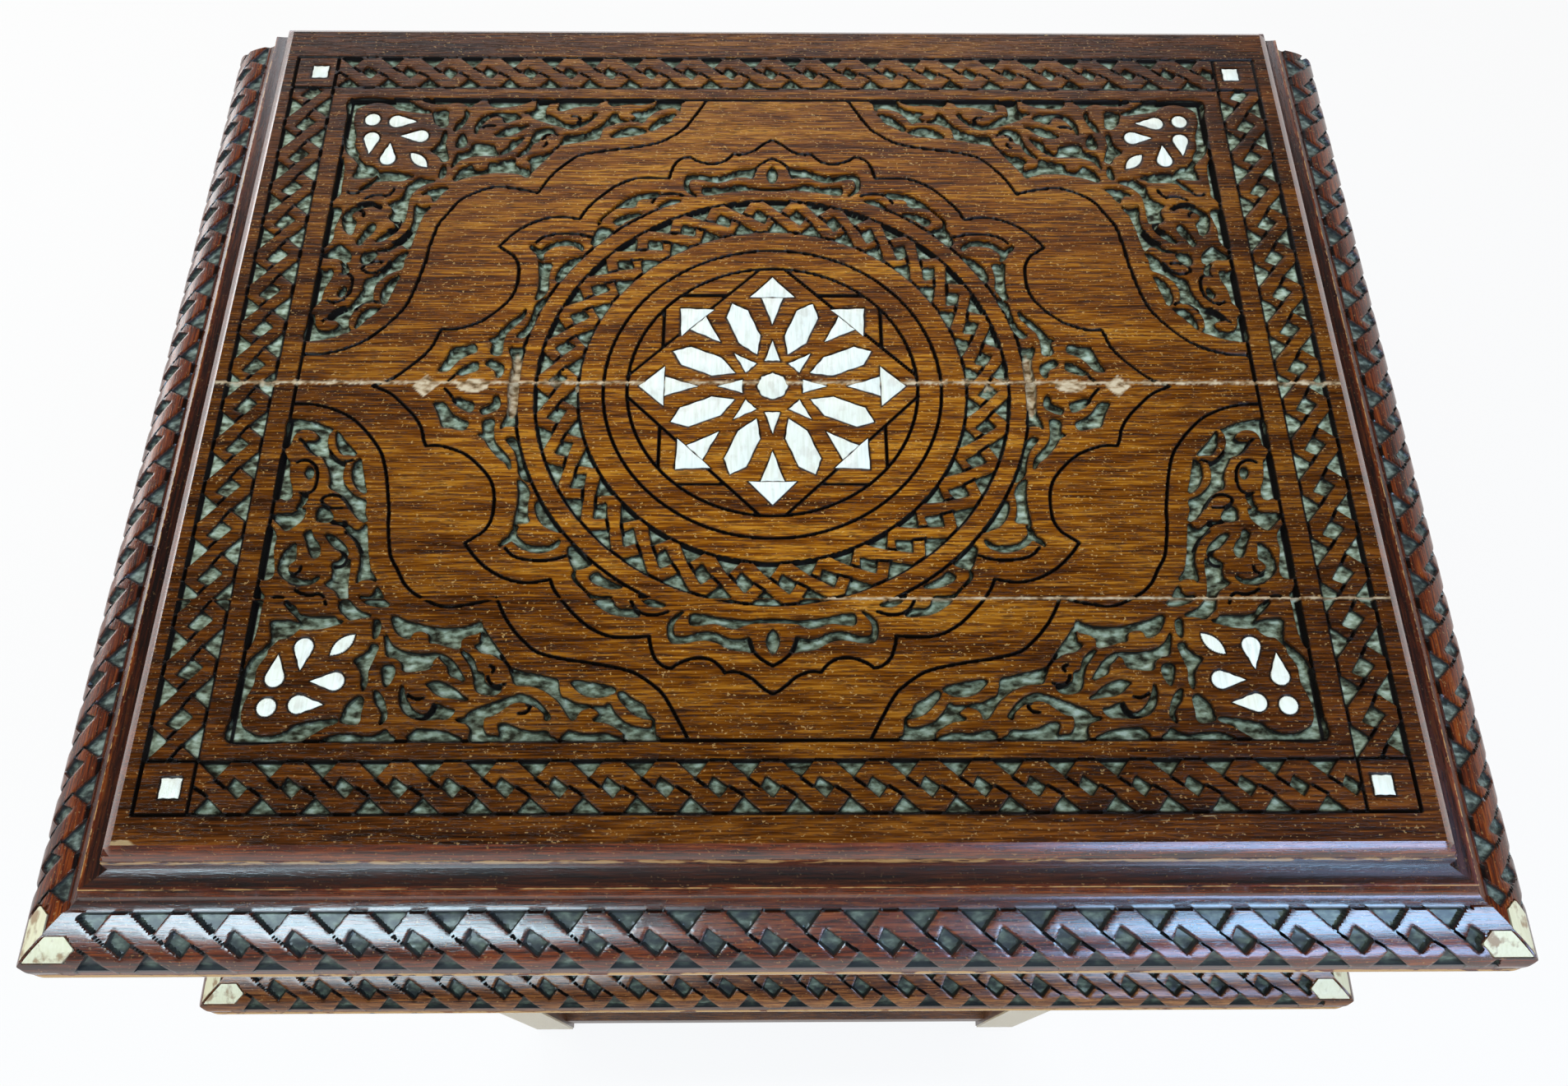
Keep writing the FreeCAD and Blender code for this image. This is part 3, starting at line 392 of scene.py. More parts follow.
MEDALLION_LINES = {
    "medallion_side": [(122.7, -0.0), (117.1, 2.6), (112.4, 6.8), (108.6, 10.9), (106.0, 15.0),
        (104.8, 19.1), (103.9, 21.2)],
    "medallion_flank": [(103.9, 21.2), (100.7, 21.0), (97.1, 21.8), (91.8, 24.1), (87.1, 28.2),
        (83.6, 32.6), (82.1, 36.8), (81.7, 41.5), (82.1, 46.2), (83.9, 49.7), (86.2, 51.5), (88.9, 53.5)],
    "medallion_front": [(88.9, 53.5), (86.0, 57.3), (82.4, 60.9), (78.1, 63.7), (74.0, 65.3),
        (69.2, 65.9), (63.4, 64.9)],
    "medallion_sweep": [(63.4, 64.9), (62.2, 67.8), (59.8, 71.3), (56.3, 75.2), (52.2, 79.0),
        (47.5, 81.6), (43.4, 82.5), (37.5, 82.4), (34.5, 82.2)],
    "medallion_knee": [(34.5, 82.6), (34.1, 84.9), (33.1, 88.0), (31.8, 89.9), (29.8, 91.3),
        (27.9, 91.7)],
    "medallion_lobe": [(27.9, 91.7), (26.4, 90.5), (24.1, 89.4), (21.4, 88.7), (18.7, 88.8),
        (16.4, 89.7), (14.4, 91.5), (13.3, 93.0)],
    "medallion_tip": [(13.3, 93.0), (11.0, 92.7), (8.7, 93.2), (6.0, 94.6), (3.7, 96.7), (1.8, 98.2),
        (-0.0, 99.2)],
    "bar_point": [(6.7, 82.8), (5.8, 85.5), (4.6, 87.8), (2.5, 89.6), (-0.0, 91.1)],
    "boat_keel": [(77.2, 55.0), (74.5, 57.6), (69.8, 58.8), (64.0, 58.8), (58.7, 57.3)],
    "wave_cut": [(40.1, 71.6), (38.7, 74.0), (36.3, 75.5), (32.8, 75.8), (29.5, 74.9)],
    "petal_cut": [(100.5, 1.0), (99.0, 2.6), (97.4, 4.7)],
}

FIELD = (-0.6, 6.8)
STAR = (-2.4, 4.2)
print(len(SPANDREL_HOLLOWS) + len(MEDALLION_HOLLOWS), "hollows in a quarter")

# %% [markdown]
# ## Distance to an outline
# Relief needs one question answered for every point of a grid: how far is the nearest carved edge, and is
# the point inside the hollow. A smooth curve is run through the chosen points, cut into short straight
# steps, and all distances come at once from array arithmetic.

# %% Curves and distances
def smooth_curve(points, closed, steps=5):
    """Curve through the points: each stretch is a cubic that leaves along the chord of its neighbours."""
    p = np.array(points, float)
    if closed:
        a, b, c, d = (np.roll(p, k, 0) for k in (1, 0, -1, -2))
    else:
        p = np.vstack([2 * p[0] - p[1], p, 2 * p[-1] - p[-2]])
        a, b, c, d = p[:-3], p[1:-2], p[2:-1], p[3:]
    t = np.linspace(0, 1, steps, endpoint=False)[:, None, None]
    curve = 2 * b + (c - a) * t + (2 * a - 5 * b + 4 * c - d) * t ** 2 + (3 * b - a - 3 * c + d) * t ** 3
    curve = (curve / 2).transpose(1, 0, 2).reshape(-1, 2)
    return curve if closed else np.vstack([curve, p[-2]])


def nearest_on(u, v, chain, closed):
    """Distance to a chain of straight steps, the step to the nearest place on it, and whether it encloses."""
    a = chain if closed else chain[:-1]
    b = np.roll(chain, -1, 0) if closed else chain[1:]
    way = b - a
    from_u = u[:, None] - a[:, 0]
    from_v = v[:, None] - a[:, 1]
    share = (from_u * way[:, 0] + from_v * way[:, 1]) / np.maximum((way ** 2).sum(1), 1e-9)
    share = np.clip(share, 0, 1)
    gap_u = share * way[:, 0] - from_u
    gap_v = share * way[:, 1] - from_v
    square = gap_u ** 2 + gap_v ** 2
    best = square.argmin(1)
    row = np.arange(len(u))
    rise = np.where(np.abs(way[:, 1]) < 1e-9, 1e-9, way[:, 1])
    spans = (from_v < 0) != (v[:, None] < b[:, 1])
    left = from_u < from_v * way[:, 0] / rise
    inside = (spans & left).sum(1) % 2 == 1
    return np.sqrt(square[row, best]), gap_u[row, best], gap_v[row, best], inside


far, _, _, within = nearest_on(np.ones(1), np.ones(1), np.array([(0, 0), (2, 0), (2, 2), (0, 2)]), True)
print("the middle of a 2 mm square is", far[0], "mm from its edge, inside:", within[0])

# %% [markdown]
# ## Relief of a grid
# A chisel leaves a crisp edge, a sloping wall and a flat floor. For each point of a grid this class keeps
# the hollow it lies deepest in and the cut line it lies nearest to, while outlines are added one by one.
# At the end the points next to an edge or a line are moved onto it. So the edge is as crisp as its outline,
# and not stepped like the grid, which would otherwise have to be many times finer.

# %% Relief
class Relief:
    """For every grid point: how deep it lies inside a hollow, and how near the nearest cut line is."""

    MARGIN = 1.6
    ARRIS_DROP = 0.1

    def __init__(self, count):
        """Start with every point a margin away from any hollow or line."""
        self.inside = np.full(count, -self.MARGIN)
        self.floor = np.zeros(count)
        self.cut = np.full(count, self.MARGIN)
        self.to_edge = np.zeros((count, 2))
        self.to_cut = np.zeros((count, 2))

    def _near(self, u, v, chain):
        """Numbers of the points inside the chain's box grown by the margin."""
        low = chain.min(0) - self.MARGIN
        high = chain.max(0) + self.MARGIN
        return np.flatnonzero((u > low[0]) & (u < high[0]) & (v > low[1]) & (v < high[1]))

    def hollow(self, u, v, axes, outline, depth, grow=0.0):
        """Sink a closed outline pushed out by grow. axes are the directions of u and v in the plan."""
        near = self._near(u, v, outline)
        if not len(near):
            return
        far, gap_u, gap_v, enclosed = nearest_on(u[near], v[near], outline, True)
        signed = np.where(enclosed, far, -far) + grow
        better = signed > self.inside[near]
        chosen = near[better]
        self.inside[chosen] = signed[better]
        self.floor[chosen] = depth
        pull = (np.where(enclosed, signed, -signed) / np.maximum(far, 1e-6))[better]
        self.to_edge[chosen] = self._plan(axes, chosen, gap_u[better] * pull, gap_v[better] * pull)

    def line(self, u, v, axes, chain, closed=False):
        """Cut a thin line along a chain."""
        near = self._near(u, v, chain)
        if not len(near):
            return
        far, gap_u, gap_v, _ = nearest_on(u[near], v[near], chain, closed)
        self._keep_cut(axes, near, far, gap_u, gap_v)

    def ring(self, u, v, axes, radius, allowed=None):
        """Cut a circle about u = v = 0, only where allowed is true."""
        r = np.hypot(u, v)
        close = np.abs(r - radius) < self.MARGIN
        near = np.flatnonzero(close if allowed is None else close & allowed)
        gap = (radius - r[near]) / np.maximum(r[near], 1e-6)
        self._keep_cut(axes, near, np.abs(r[near] - radius), u[near] * gap, v[near] * gap)

    def _keep_cut(self, axes, near, far, gap_u, gap_v):
        """Take the new distance and step where the line is nearer than every line before it."""
        better = far < self.cut[near]
        chosen = near[better]
        self.cut[chosen] = far[better]
        self.to_cut[chosen] = self._plan(axes, chosen, gap_u[better], gap_v[better])

    @staticmethod
    def _plan(axes, chosen, gap_u, gap_v):
        """Steps along u and v as steps along X and Y; axes give u's X and Y, then v's."""
        parts = [a if np.isscalar(a) else a[chosen] for a in axes]
        return np.stack([parts[0] * gap_u + parts[2] * gap_v, parts[1] * gap_u + parts[3] * gap_v], 1)

    def settle(self, spacing, wall, cut_depth):
        """Move the nearest grid points onto edges and lines; give every point its depth and the move."""
        on_edge = self._catch(self.to_edge, np.abs(self.inside), spacing)
        on_cut = self._catch(self.to_cut, self.cut, spacing) & ~on_edge & (self.inside < 0)
        self.inside = np.where(on_edge, 0.0, self.inside)
        self.cut = np.where(on_cut, 0.0, self.cut)
        slope = np.clip(self.inside / wall, 0, 1)
        depth = self.floor * slope * slope * (3 - 2 * slope)
        depth = np.where(on_edge, self.ARRIS_DROP, np.where(on_cut, cut_depth, depth))
        move = np.where(on_edge[:, None], self.to_edge, np.where(on_cut[:, None], self.to_cut, 0))
        return depth, move

    @staticmethod
    def _catch(move, far, spacing):
        """A point is caught when its step, taken along the nearer grid line, is under half a spacing."""
        return far ** 2 <= spacing / 2 * np.abs(move).max(1)


def fold(x, y, centre):
    """Quarter-panel coordinates: distance to the side and to the front or back of a centre."""
    side = np.where(x < centre[0], -1.0, 1.0)
    end = np.where(y < centre[1], -1.0, 1.0)
    return (x - centre[0]) * side, (y - centre[1]) * end, (side, 0.0, 0.0, end)


print("an outline is looked for up to", Relief.MARGIN, "mm away")

# %% [markdown]
# ## The braid
# A two-strand braid runs round the panel, round the star and along the mouldings. The long straps pass
# over and the short ones under. What the carver took out between them repeats every pitch: a triangle at
# each border and a lozenge in the middle. Two short cut lines finish each crossing. The pattern is drawn
# once for one pitch, in shares of the pitch and of the band's width.

# %% One pitch of the braid
BRAID_PITCH = 14.0
BRAID_BAND = 14.3
FAR_OFF = 1e6
TOP_TRIANGLE = [(0.0, 0.0), (9.4, 0.0), (5.6, 4.9)]
LOZENGE = [(10.2, 3.9), (14.7, 7.1), (12.2, 10.4), (8.7, 7.2)]
LOW_TRIANGLE = [(0.6, 14.3), (10.0, 14.3), (4.4, 9.4)]
OVER_CUTS = [[(5.6, 4.9), (8.7, 7.2)], [(0.7, 7.1), (4.4, 9.4)],
             [(9.4, 0.0), (13.9, 0.0)], [(9.9, 14.3), (14.7, 14.3)]]


def braid(relief, s, t, axes, pitch, band, depth, grow=0.0):
    """Carve the braid where s runs along the band and t across it; s is wrapped to one pitch."""
    stretch = np.array([pitch / BRAID_PITCH, band / BRAID_BAND])
    wrapped = np.mod(s, pitch)
    active = (t > -1.0) & (t < band + 1.0)
    t = np.where(active, t, FAR_OFF)
    for repeat in (-pitch, 0.0, pitch):
        step = np.array([repeat, 0.0])
        for shape in (TOP_TRIANGLE, LOZENGE, LOW_TRIANGLE):
            relief.hollow(wrapped, t, axes, np.array(shape) * stretch + step, depth, grow)
        for cut in OVER_CUTS:
            relief.line(wrapped, t, axes, np.array(cut) * stretch + step)


print("one pitch of the braid is", BRAID_PITCH, "mm long and", BRAID_BAND, "mm wide")

# %% [markdown]
# ## Layout of the panel
# The bands sit on straight lines, the ring on a circle, and the star's guide lines are two squares turned
# an eighth of a turn apart inside the innermost circle. Measures of the field run from its middle, and
# those of the star from the star. A slip that is alike on both sides of its axis is given by one half.

# %% Measures of the panel
BAND_IN = (154.9, 120.2)
BAND_OUT = (169.2, 134.5)
FIELD_EDGE = (147.8, 114.8)
RING = (59.8, 72.8)
RING_UNITS = 34
CIRCLES = (44.7, 52.0, RING[0], RING[1])
RING_BORDER = 78.8
RING_BORDER_FROM = 34
STAR_SQUARE = 34.2
OCTAGON_RATIO = 2.414
HOLLOW_DEPTH = 2.4
BRAID_DEPTH = 2.0
SCROLL_GROW = 0.5
RING_GROW = 0.4
SIDE_DEPTH = 1.3
SIDE_GROW = 0.4
SEAT_DEPTH = 0.5
SEAT_GAP = 0.18
OCTAGON = 4.9
DART = [(9.2, 2.5), (17.0, 0.0)]
HEXAGON = [(12.4, 0.0), (18.6, 3.7), (29.2, 3.7), (33.6, 0.0)]
ARROW = [(22.8, 0.0), (33.3, 3.6), (33.3, 7.3), (41.3, 0.0)]
SQUARE_PLACE = (160.5, 127.4)
SQUARE_HALF = 2.8
PALMETTE = (139.2, 105.3)
BULB = 2.75
PETALS = [((15.5, 0.8), (8.4, 0.8)), ((10.4, 7.4), (17.4, 7.4))]
LEAF = ((14.8, 14.8), (21.2, 21.2), 2.0)
print("bands", BAND_IN, "to", BAND_OUT, "ring", RING, "with", RING_UNITS, "pitches")

# %% [markdown]
# ### Outlines of the slips
# Sawn slips are simple shapes: octagon, dart, long hexagon, drop and pointed leaf. The same outlines serve
# the slips and the seats cut for them, so the two always match. A seat is only pushed out by the glue gap.

# %% Outlines of the slips
def grown(outline, gap):
    """Outline pushed out from its middle by a small gap."""
    p = np.array(outline, float)
    away = p - p.mean(0)
    return p + away / np.linalg.norm(away, axis=1, keepdims=True) * gap


def mirrored(half):
    """Whole outline from its half on one side of an axis: the points off the axis return mirrored."""
    return half + [(a, -b) for a, b in reversed(half) if b > 0]


def round_outline(centre, radius, corners=20):
    """Circle as a chain of points."""
    turn = np.arange(corners) / corners * 2 * math.pi
    return np.array(centre) + radius * np.stack([np.cos(turn), np.sin(turn)], 1)


def teardrop(tip, bulb):
    """Round bulb whose two tangents meet at the tip."""
    way = np.array(tip) - np.array(bulb)
    reach = np.hypot(*way)
    swing = math.acos(BULB / reach)
    lean = math.atan2(way[1], way[0])
    turn = lean + np.linspace(swing, 2 * math.pi - swing, 14)
    rim = np.array(bulb) + BULB * np.stack([np.cos(turn), np.sin(turn)], 1)
    return np.vstack([rim, tip])


def lens(start, end, half):
    """Pointed leaf with two equal bowed sides."""
    share = np.linspace(0, 1, 9)[:, None]
    spine = np.array(start) + (np.array(end) - np.array(start)) * share
    side = np.array([-1.0, 1.0]) / math.sqrt(2) * half * 4 * share * (1 - share)
    return np.vstack([spine + side, (spine - side)[-2:0:-1]])


petals = [drop for tip, bulb in PETALS for drop in (teardrop(tip, bulb), teardrop(tip[::-1], bulb[::-1]))]
print(len(petals), "petals in a palmette, each an outline of", len(petals[0]), "points")

# %% [markdown]
# ### Carving of the panel
# The cutting follows the carver's order: the corners and their frame, the medallion, the braided bands, and
# last the seats. Shallow seats under the bone slips leave a thin dark joint round each slip.

# %% Field and medallion
def carve_field(relief, x, y):
    """Scrollwork of the corners and the cusped lines that frame it."""
    u, v, axes = fold(x, y, FIELD)
    for outline in SPANDREL_HOLLOWS.values():
        relief.hollow(u, v, axes, smooth_curve(outline, True), HOLLOW_DEPTH, SCROLL_GROW)
    for chain in SPANDREL_LINES.values():
        relief.line(u, v, axes, smooth_curve(chain, False))
    corner = np.array(FIELD_EDGE)
    relief.line(u, v, axes, np.array([(0, corner[1]), corner, (corner[0], 0)]))
    for edge in (BAND_IN, BAND_OUT):
        relief.line(u, v, axes, np.array([(0, edge[1]), edge, (edge[0], 0)]))
    relief.line(u, v, axes, np.array([(BAND_IN[0], BAND_OUT[1]), BAND_IN, (BAND_OUT[0], BAND_IN[1])]))


def carve_medallion(relief, x, y):
    """Scrollwork between the ring and the cusped outline, with the ring, the circles and the star lines."""
    u, v, axes = fold(x, y, STAR)
    for outline in MEDALLION_HOLLOWS.values():
        relief.hollow(u, v, axes, smooth_curve(outline, True), HOLLOW_DEPTH, SCROLL_GROW)
    for chain in MEDALLION_LINES.values():
        relief.line(u, v, axes, smooth_curve(chain, False))
    for radius in CIRCLES:
        relief.ring(u, v, axes, radius)
    relief.ring(u, v, axes, RING_BORDER, allowed=u > RING_BORDER_FROM)
    chord = math.sqrt(CIRCLES[0] ** 2 - STAR_SQUARE ** 2)
    relief.line(u, v, axes, np.array([(STAR_SQUARE, chord), (STAR_SQUARE, STAR_SQUARE / OCTAGON_RATIO)]))
    relief.line(u, v, axes, np.array([(chord, STAR_SQUARE), (STAR_SQUARE / OCTAGON_RATIO, STAR_SQUARE)]))
    tip = STAR_SQUARE * math.sqrt(2)
    relief.line(u, v, axes, np.array([(CIRCLES[0], tip - CIRCLES[0]), (tip - STAR_SQUARE, STAR_SQUARE)]))
    relief.line(u, v, axes, np.array([(tip - CIRCLES[0], CIRCLES[0]), (STAR_SQUARE, tip - STAR_SQUARE)]))


print(len(SPANDREL_LINES) + len(MEDALLION_LINES), "cut lines in a quarter")

# %% Braided bands
def carve_braids(relief, x, y):
    """Four straight bands between the corner cells and the ring round the star."""
    across = x - FIELD[0]
    deep = y - FIELD[1]
    pitch_x = 2 * BAND_IN[0] / round(2 * BAND_IN[0] / BRAID_PITCH)
    pitch_y = 2 * BAND_IN[1] / round(2 * BAND_IN[1] / BRAID_PITCH)
    band = BAND_OUT[0] - BAND_IN[0]
    in_x = np.abs(across) < BAND_IN[0]
    in_y = np.abs(deep) < BAND_IN[1]
    for edge in (-BAND_IN[1], BAND_OUT[1]):
        t = np.where(in_x, edge - deep, FAR_OFF)
        braid(relief, across + BAND_IN[0], t, (1.0, 0.0, 0.0, -1.0), pitch_x, band, BRAID_DEPTH)
    for edge in (-BAND_OUT[0], BAND_IN[0]):
        t = np.where(in_y, across - edge, FAR_OFF)
        braid(relief, deep + BAND_IN[1], t, (0.0, 1.0, 1.0, 0.0), pitch_y, band, SIDE_DEPTH, SIDE_GROW)
    star_x, star_y = x - STAR[0], y - STAR[1]
    r = np.maximum(np.hypot(star_x, star_y), 1e-6)
    middle = sum(RING) / 2
    along = np.arctan2(star_y, star_x) * middle
    axes = (-star_y / r * r / middle, star_x / r * r / middle, star_x / r, star_y / r)
    pitch = 2 * math.pi * middle / RING_UNITS
    braid(relief, along, r - RING[0], axes, pitch, RING[1] - RING[0], BRAID_DEPTH, RING_GROW)


print("the ring's pitch is", round(math.pi * sum(RING) / RING_UNITS, 2), "mm")

# %% Seats and the whole relief
def seat_bones(relief, x, y):
    """Shallow seats under every bone slip of the panel."""
    star_x, star_y = x - STAR[0], y - STAR[1]
    r = np.hypot(star_x, star_y)
    lean = np.arctan2(star_y, star_x)
    for shapes, phase in (((DART, ARROW), 0.0), ((HEXAGON,), math.pi / 8)):
        fan = np.mod(lean - phase + math.pi / 8, math.pi / 4) - math.pi / 8
        out, off = r * np.cos(fan), r * np.sin(fan)
        axis = lean - fan
        axes = (np.cos(axis), np.sin(axis), -np.sin(axis), np.cos(axis))
        for half in shapes:
            relief.hollow(out, off, axes, grown(mirrored(half), SEAT_GAP), SEAT_DEPTH)
    centre = round_outline((0, 0), OCTAGON + SEAT_GAP, 8)
    relief.hollow(star_x, star_y, (1.0, 0.0, 0.0, 1.0), centre, SEAT_DEPTH)
    u, v, axes = fold(x, y, FIELD)
    turns = np.array([(1, 1), (-1, 1), (-1, -1), (1, -1)])
    corner = turns * (SQUARE_HALF + SEAT_GAP) + np.array(SQUARE_PLACE)
    relief.hollow(u, v, axes, corner, SEAT_DEPTH)
    for seat in (round_outline((0, 0), BULB), *petals, lens(*LEAF)):
        relief.hollow(u, v, axes, np.array(PALMETTE) - grown(seat, SEAT_GAP), SEAT_DEPTH)


def panel_relief(x, y):
    """All carving of the panel at the given plan points."""
    relief = Relief(len(x))
    carve_field(relief, x, y)
    carve_medallion(relief, x, y)
    carve_braids(relief, x, y)
    seat_bones(relief, x, y)
    return relief


sample_x, sample_y = np.meshgrid(np.arange(-145.0, 145.0, 5.0), np.arange(-105.0, 115.0, 5.0))
sample = panel_relief(sample_x.ravel(), sample_y.ravel())
print("sunk share of the field", round(float((sample.inside > 0).mean()), 2))

# %% [markdown]
# ## The three boards
# The panel is three boards glued edge to edge, its outer edges rounded to a thumb. A board is a grid over
# its plan: the height is the flat top less the carving, and on the outer edges the lower of the two thumb
# curves. The grid's lines follow the points of the thumb's section there, so the section stays exact. A
# bump in the finish could suggest the carving, but its edges would not catch the light or cast a shadow.

# %% Thumb edge
THUMB = [(0.0, 0.0), (0.45, 0.3), (2.5, 1.7), (3.3, 2.9), (3.8, 4.4), (4.05, 6.2), (THUMB_OUT, 8.0)]


def thumb_drop(beyond):
    """Fall of the edge at a distance beyond the flat: a crisp arris, a slope, then a rounded foot."""
    out, drop = np.array(THUMB).T
    return np.interp(beyond, out, drop)


def stations(low, high, spacing, thumb_low, thumb_high):
    """Grid places along one direction: even on the flat, at the points of the section on a thumb edge."""
    flat = np.linspace(low, high, int(round((high - low) / spacing)) + 1)
    edge = np.array(THUMB)[1:, 0]
    parts = [low - edge[::-1]] if thumb_low else []
    parts.append(flat)
    parts += [high + edge] if thumb_high else []
    return np.concatenate(parts)


print("the thumb edge falls", thumb_drop(THUMB_OUT), "mm over", round(THUMB_OUT, 2), "mm")

# %% [markdown]
# ### Marks of age
# The glue joints were filled with pale putty, and hands have rubbed the edges bare. Such marks are numbers
# kept on the points of a board for the finish to read. Each one is a distance to a line or a spot, turned
# to a share from nought to one, which needs no picture.

# %% Filler and wear
FILLED_JOINT = 0.55
FRONT_JOINT = 0.35
FRONT_JOINT_FROM = 11
SPREAD_RANGE = (45, 120)
SPREAD_PEAK = (79.6, 2)
FILLED_DIAMOND = (106.6, 4.0)
FILLED_ALMOND = (92.0, 4.8, 2.3)
FILLER_FADE = 0.3
NOSE = 3.8
CHIP = (-173.5, -135.5)
CHIP_HALF = (4.0, 1.4)
SCRATCH = (97, 119, -129.2)


def filler_paint(x, y, inside):
    """Pale filler of the two glue joints: a ragged line that spreads where the joint crosses a hollow."""
    ragged = 0.22 * np.sin(x * 0.9) * np.sin(x * 0.23 + 1.7) + 0.12 * np.sin(x * 3.7)
    back = FILLED_JOINT + ragged - np.abs(y - SEAM_BACK)
    front = np.where(x > FRONT_JOINT_FROM, FRONT_JOINT + 0.5 * ragged, -1) - np.abs(y - SEAM_FRONT)
    out = np.abs(x - STAR[0])
    reach = 2.2 + 3 * ragged + 9 * np.exp(-((out - SPREAD_PEAK[0]) / SPREAD_PEAK[1]) ** 2)
    crossed = (inside > 0.1) & (out > SPREAD_RANGE[0]) & (out < SPREAD_RANGE[1])
    spread = np.where(crossed, reach, 0) - np.abs(y - SEAM_BACK)
    middle = np.abs(y - STAR[1])
    place, half = FILLED_DIAMOND
    diamond = 1.2 * (half - middle - (out - place) * np.sign(out - place))
    place, half, half_deep = FILLED_ALMOND
    almond = 6 * (1 - ((out - place) / half) ** 2 - (middle / half_deep) ** 2)
    filled = np.maximum(np.maximum(back, front), np.maximum(spread, np.maximum(diamond, almond)))
    return np.clip(filled / FILLER_FADE + 0.5, 0, 1)


def wear_paint(x, y, beyond):
    """Bare wood: the rubbed nose of the edge, a chip at the front left corner and a scratch at the right."""
    arris = 0.3 * np.exp(-(beyond / 0.4) ** 2) + 1.1 * np.exp(-((beyond - NOSE) / 0.2) ** 2)
    chip = np.clip(1.5 - np.hypot((x - CHIP[0] - 2.5) / CHIP_HALF[0], (y - CHIP[1]) / CHIP_HALF[1]), 0, 1)
    start, end, level = SCRATCH
    scratch_y = level + 0.06 * (x - (start + end) / 2) + 0.25 * np.sin(x * 0.35)
    scratch = np.where((x > start) & (x < end), np.clip(1 - np.abs(y - scratch_y) / 0.5, 0, 1), 0)
    return arris, np.maximum(chip, 0.75 * scratch)


print("the scratch runs", SCRATCH[1] - SCRATCH[0], "mm, the filled joint is", 2 * FILLED_JOINT, "mm wide")

# %% [markdown]
# ### Making a board
# The carved grid is closed by a skirt down to the underside and one face below, so the board is a solid.
# The edge and the underside get finishes of their own, by where each face lies. The back board is made
# with a coarser grid, which keeps its mesh about as light as the others.

# %% Boards
WALL_RUN = 0.5
CUT_DEPTH = 0.9
CUT_REACH = 0.9


def carved_board(node, y_low, y_high, spacing, thumb_front, thumb_back):
    """One board: height = top - thumb curve - carving, over a plan grid."""
    xs = stations(-HALF_PANEL, HALF_PANEL, spacing, True, True)
    ys = stations(y_low, y_high, spacing, thumb_front, thumb_back)
    grid_x, grid_y = np.meshgrid(xs, ys)
    x, y = grid_x.ravel(), grid_y.ravel()
    relief = panel_relief(x, y)
    depth, move = relief.settle(spacing, WALL_RUN, CUT_DEPTH)
    rim = (x <= xs[0]) | (x >= xs[-1]) | (y <= ys[0]) | (y >= ys[-1])
    flat = (np.abs(x) < HALF_PANEL - 1) & (y > PANEL_FRONT + 1) & (y < PANEL_BACK - 1) & ~rim
    move[~flat] = 0
    joint = np.minimum(np.abs(y - SEAM_BACK), np.abs(y - SEAM_FRONT)) < spacing / 2
    move[joint, 1] = 0
    beyond_x = np.abs(x) - HALF_PANEL
    beyond_y = np.maximum(PANEL_FRONT - y, y - PANEL_BACK)
    z = TOP - np.maximum(thumb_drop(beyond_x), thumb_drop(beyond_y)) - np.where(flat, depth, 0)
    top = np.stack([x + move[:, 0], y + move[:, 1], z], 1)
    triangles = cell_triangles(top, len(ys), len(xs))
    border = rim_of(np.arange(len(top)).reshape(len(ys), len(xs)))
    low = top[border] * (1, 1, 0) + (0, 0, UNDERSIDE)
    under = len(top) + np.arange(len(border))
    points = np.concatenate([top, low])
    pad = np.zeros(len(low))
    arris, bare = wear_paint(x, y, np.maximum(beyond_x, beyond_y))
    deep = (relief.floor > SEAT_DEPTH) & flat
    # The hollow mark also places the painted shade on the walls, and the edge mark the painted shade along
    # their rims.
    paint = {"hollow": np.where(deep, np.clip(relief.inside, 0, 3) / 3, 0),
             "cut": np.where(flat, np.clip(1 - relief.cut / CUT_REACH, 0, 1), 0),
             "seat": np.where((relief.floor == SEAT_DEPTH) & (relief.inside > -0.1), 1.0, 0.0),
             "edge": np.where(flat & (relief.inside == 0), 1.0, 0.0),
             "arris": arris,
             "bare": bare,
             "filler": filler_paint(x, y, relief.inside)}
    paint = {label: np.concatenate([values, pad]) for label, values in paint.items()}
    faces = np.concatenate([triangles, skirt(border, under)])
    piece = make_piece(node + "_carved", points, faces, [under[::-1]], paint)
    middle = points[faces].mean(1)
    edge = (np.abs(middle[:, 0]) > HALF_PANEL) | (middle[:, 1] < PANEL_FRONT) | (middle[:, 1] > PANEL_BACK)
    piece.data.polygons.foreach_set("material_index", np.append(edge, 2).astype(np.int32))
    return stand_for(piece, "lid", "carved_walnut", node)


boards = [carved_board("lid_board_front", PANEL_FRONT, SEAM_FRONT, 0.56, True, False),
          carved_board("lid_board_middle", SEAM_FRONT, SEAM_BACK, 0.56, False, False),
          carved_board("lid_board_back", SEAM_BACK, PANEL_BACK, 0.76, False, True)]

# %% [markdown]
# ## The moulding rails
# Two tiers of the same moulding run round the front and the sides. The section starts under the panel's
# thumb edge with a shallow cove, turns down at a crest, steps in at a quirk and swells out to the band
# that carries the braid, down to a thin lip. Each section point is a distance out from the panel's flat and
# a drop below its top. A curve with a bevel profile would make a plain moulding. This one is a grid, because
# the braid has to be cut into it.

# %% Section of the rails
LEDGE_DROP = 9.6
LEDGE_DIP = 0.25
CREST_DROP = 9.6
FACE_FOOT = (1.1, 12.7)
QUIRK = (4.2, 14.8)
BAND_HEAD = (4.9, 14.2)
BAND_FOOT = (28.9, 22.0)
FRONT_CREST = 9.7
SIDE_CREST = 10.9
BAND_FLAT = (0.55, 0.2)
BAND_SHOULDER = (0.9, 0.52)
LIP = 27.0
UNDER_PANEL = 26.0
BAND_STEPS = 34


